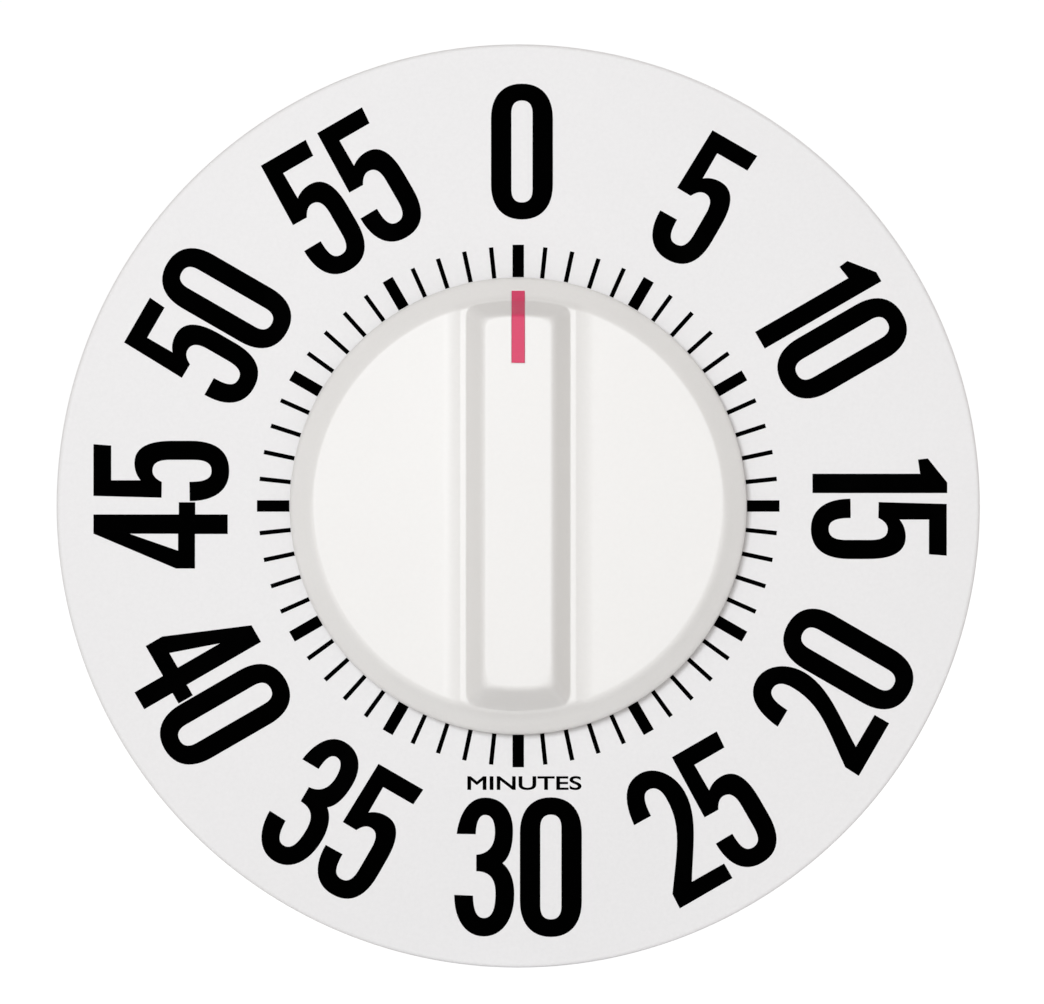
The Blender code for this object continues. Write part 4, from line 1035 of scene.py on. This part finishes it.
# %% Pockets, holes, grooves and slots
cutters = [pocket(f"counterbore_{i}", 3.5, 3.0, at) for i, at in enumerate(SCREW_PLACES)]
cutters += [plug(f"hole_{i}", 1.9, 2.0, 32.0, at, 24) for i, at in enumerate(SCREW_PLACES)]
cutters += [
    pocket(f"pocket_{i}", MAGNET_R + 0.3, MAGNET_THICK + 0.3, at)
    for i, at in enumerate(MAGNET_PLACES)
]
for side in (-1, 1):
    x = side * STAND_HALF
    low, high = (x - GROOVE_HALF, -60, -1), (x + GROOVE_HALF, 14.2, 3.6)
    cutters.append(bench_box(f"groove_{side}", low, high))
    near, far = sorted((side * 25.8, side * STAND_HALF))
    cutters.append(bench_box(f"slot_{side}", (near, 10.5, -1), (far, 13.5, 3.5)))
for i in range(5):
    bm = slot_cutter("back_slot", 12.0, 2.0, -1.0, 5.0)
    bmesh.ops.rotate(bm, verts=bm.verts, matrix=Matrix.Rotation(math.pi / 2, 3, "Z"))
    bmesh.ops.translate(bm, vec=((i - 2) * 4.0, 18.0, 0), verts=bm.verts)
    cutters.append(bench_object(f"back_slot_{i}", closed_mesh(bm)))
for i in range(8):
    bearing = (i // 4) * 180 + (i % 4) * 8 + 33
    bm = slot_cutter("side_slot", 14.0, 2.0, 46.0, 56.0)
    bmesh.ops.rotate(bm, verts=bm.verts, matrix=Matrix.Rotation(math.pi / 2, 3, "Y"))
    bmesh.ops.translate(bm, vec=(0, 0, 19.0), verts=bm.verts)
    turn = Matrix.Rotation(math.radians(bearing), 3, "Z")
    bmesh.ops.rotate(bm, verts=bm.verts, matrix=turn)
    cutters.append(bench_object(f"side_slot_{i}", closed_mesh(bm)))
case = carve(case, cutters)
finish_piece("case_moulding", settled(case), case_white, "housing", ["rear_case"])

# %% [markdown]
# ## Screws that repeat
# Four pan-head screws close the case. One screw is turned and gets its cross recess, and a
# small tree puts it on a ring of points, each turned by its own amount, as a hand leaves them.

# %% One screw
screw_profile = [(0, 34.8), (0.9, 34.8), (1.5, 33.6), (1.5, 2.7), (3.1, 2.7), (3.1, 1.5)]
screw_profile += [(2.75, 0.95), (1.9, 0.65), (0, 0.6)]
screw = turned("one_screw", screw_profile, 40)
recess = [bench_box("recess_1", (-1.7, -0.36, -1), (1.7, 0.36, 1.8))]
recess.append(bench_box("recess_2", (-0.36, -1.7, -1), (0.36, 1.7, 1.8)))
screw = carve(screw, recess)

# %% The ring that repeats it
ring, given, result = geometry_tree(
    "ring_of_screws",
    {
        "Count": (INT, 4), "Ring Radius": (FLOAT, SCREW_CIRCLE), "Seed": (INT, 3),
        "Screw": ("NodeSocketObject", None), "Metal": ("NodeSocketMaterial", None),
    },
)
circle = add_node(ring, "GeometryNodeMeshCircle")
linked(ring, given["Count"], circle.inputs["Vertices"])
linked(ring, given["Ring Radius"], circle.inputs["Radius"])
chance = add_node(ring, "FunctionNodeRandomValue", data_type="FLOAT")
chance.inputs["Max"].default_value = math.pi / 2
linked(ring, given["Seed"], chance.inputs["Seed"])
spin = add_node(ring, "ShaderNodeCombineXYZ")
linked(ring, chance.outputs["Value"], spin.inputs["Z"])
shape = add_node(ring, "GeometryNodeObjectInfo")
linked(ring, given["Screw"], shape.inputs["Object"])
lay = add_node(ring, "GeometryNodeInstanceOnPoints")
linked(ring, circle.outputs["Mesh"], lay.inputs["Points"])
linked(ring, shape.outputs["Geometry"], lay.inputs["Instance"])
linked(ring, spin.outputs["Vector"], lay.inputs["Rotation"])
real = add_node(ring, "GeometryNodeRealizeInstances")
paint = add_node(ring, "GeometryNodeSetMaterial")
linked(ring, lay.outputs["Instances"], real.inputs["Geometry"])
linked(ring, real.outputs["Geometry"], paint.inputs["Geometry"])
linked(ring, given["Metal"], paint.inputs["Material"])
linked(ring, paint.outputs["Geometry"], result.inputs["Geometry"])
screw_mesh = modifier_mesh("case_screws", ring, {"Screw": screw, "Metal": steel})
bpy.data.objects.remove(screw)
screw_nodes = [f"case_screw_{side}" for side in ("right", "top", "left", "bottom")]
finish_piece("case_screws", screw_mesh, steel, "housing", screw_nodes)

# %% [markdown]
# ## Magnets
# Three ferrite discs lie flush in their cups and hold the timer to a steel door. Ferrite is
# pressed and sintered, so its edges are chamfered and its faces dull and grainy.

# %% Three discs
magnet_bm = bmesh.new()
for at in MAGNET_PLACES:
    disc = [(0, MAGNET_THICK), (MAGNET_R, MAGNET_THICK), (MAGNET_R, 0), (0, 0)]
    merge_in(magnet_bm, lathe(soften(disc, {1: 0.3, 2: 0.5}), 96, at))
magnet_mesh = closed_mesh(magnet_bm, "door_magnets")
finish_piece("door_magnets", magnet_mesh, ferrite, "housing", MAGNET_NODES)

# %% [markdown]
# ## The wire stand
# A round wire is bent to a loop, and its ends hook into the case. A curve with a round bevel
# is that wire. The soft sleeve on its foot keeps it from slipping, and is turned, then laid
# along the foot.


# %% Bend the wire
def bend(centre, radius, first, last, count=10):
    """The points of a round bend, from one direction to another."""
    return [polar(radius, first + (last - first) * i / (count - 1), centre) for i in range(count)]


foot = STAND_FOOT - STAND_PIVOT
right_half = [(27.0, 0.0)] + bend((STAND_HALF - 2.0, -2.0), 2.0, 90, 0)
right_half += bend((STAND_HALF - 4.0, foot + 4.0), 4.0, 0, -90)
path = right_half + [(-x, y) for x, y in reversed(right_half)]
wire_curve = bpy.data.curves.new("wire", "CURVE")
wire_curve.dimensions = "3D"
wire_curve.bevel_depth = WIRE_R
wire_curve.bevel_resolution = 6
wire_curve.use_fill_caps = True
spline = wire_curve.splines.new("POLY")
spline.points.add(len(path) - 1)
for target, (x, y) in zip(spline.points, path):
    target.co = (x, y + STAND_PIVOT, STAND_Z, 1)
wire_object = bpy.data.objects.new("wire", wire_curve)
scene.collection.objects.link(wire_object)
bm = bmesh.new()
bm.from_mesh(settled(wire_object))
finish_piece("wire_loop", closed_mesh(bm), steel, "stand", ["stand_wire"])

# %% The sleeve
tube = soften([(1.5, 20), (1.95, 20), (1.95, -20), (1.5, -20)], {1: 0.2, 2: 0.2})
bm = lathe(tube, 48)
bmesh.ops.rotate(bm, verts=bm.verts, matrix=Matrix.Rotation(math.pi / 2, 3, "Y"))
bmesh.ops.translate(bm, vec=(0, STAND_FOOT, STAND_Z), verts=bm.verts)
finish_piece("foot_sleeve", closed_mesh(bm), vinyl, "stand", ["stand_sleeve"])

# %% [markdown]
# ## Carried-over parts
# The rest of the engineering model already has its true shape. Each node gets the finish of
# its material slot.

# %% Finishes for the engineering nodes
FINISH_OF_SLOT = {
    "white_dial": dial_white, "white_knob": knob_white, "white_case": case_white,
    "red_plastic": pointer_red, "plated_steel": steel, "blued_steel": blued, "brass": brass,
    "ferrite": ferrite, "vinyl": vinyl,
}
SLOT_OF_NODE = {part["node"]: part["material_slot"] for part in frame["record"]["subparts"]}
for name, node in frame["nodes"].items():
    node.data.materials.clear()
    node.data.materials.append(FINISH_OF_SLOT[SLOT_OF_NODE[name]])
print("finished nodes:", len(frame["nodes"]))

# %% Measure the finished box beside the engineering one
bpy.context.view_layer.update()
low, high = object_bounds()
sizes = {"cad": [list(cad_low), list(cad_high)], "visual": [list(low), list(high)]}
print("visual box, m:", [round(v, 4) for v in high - low])
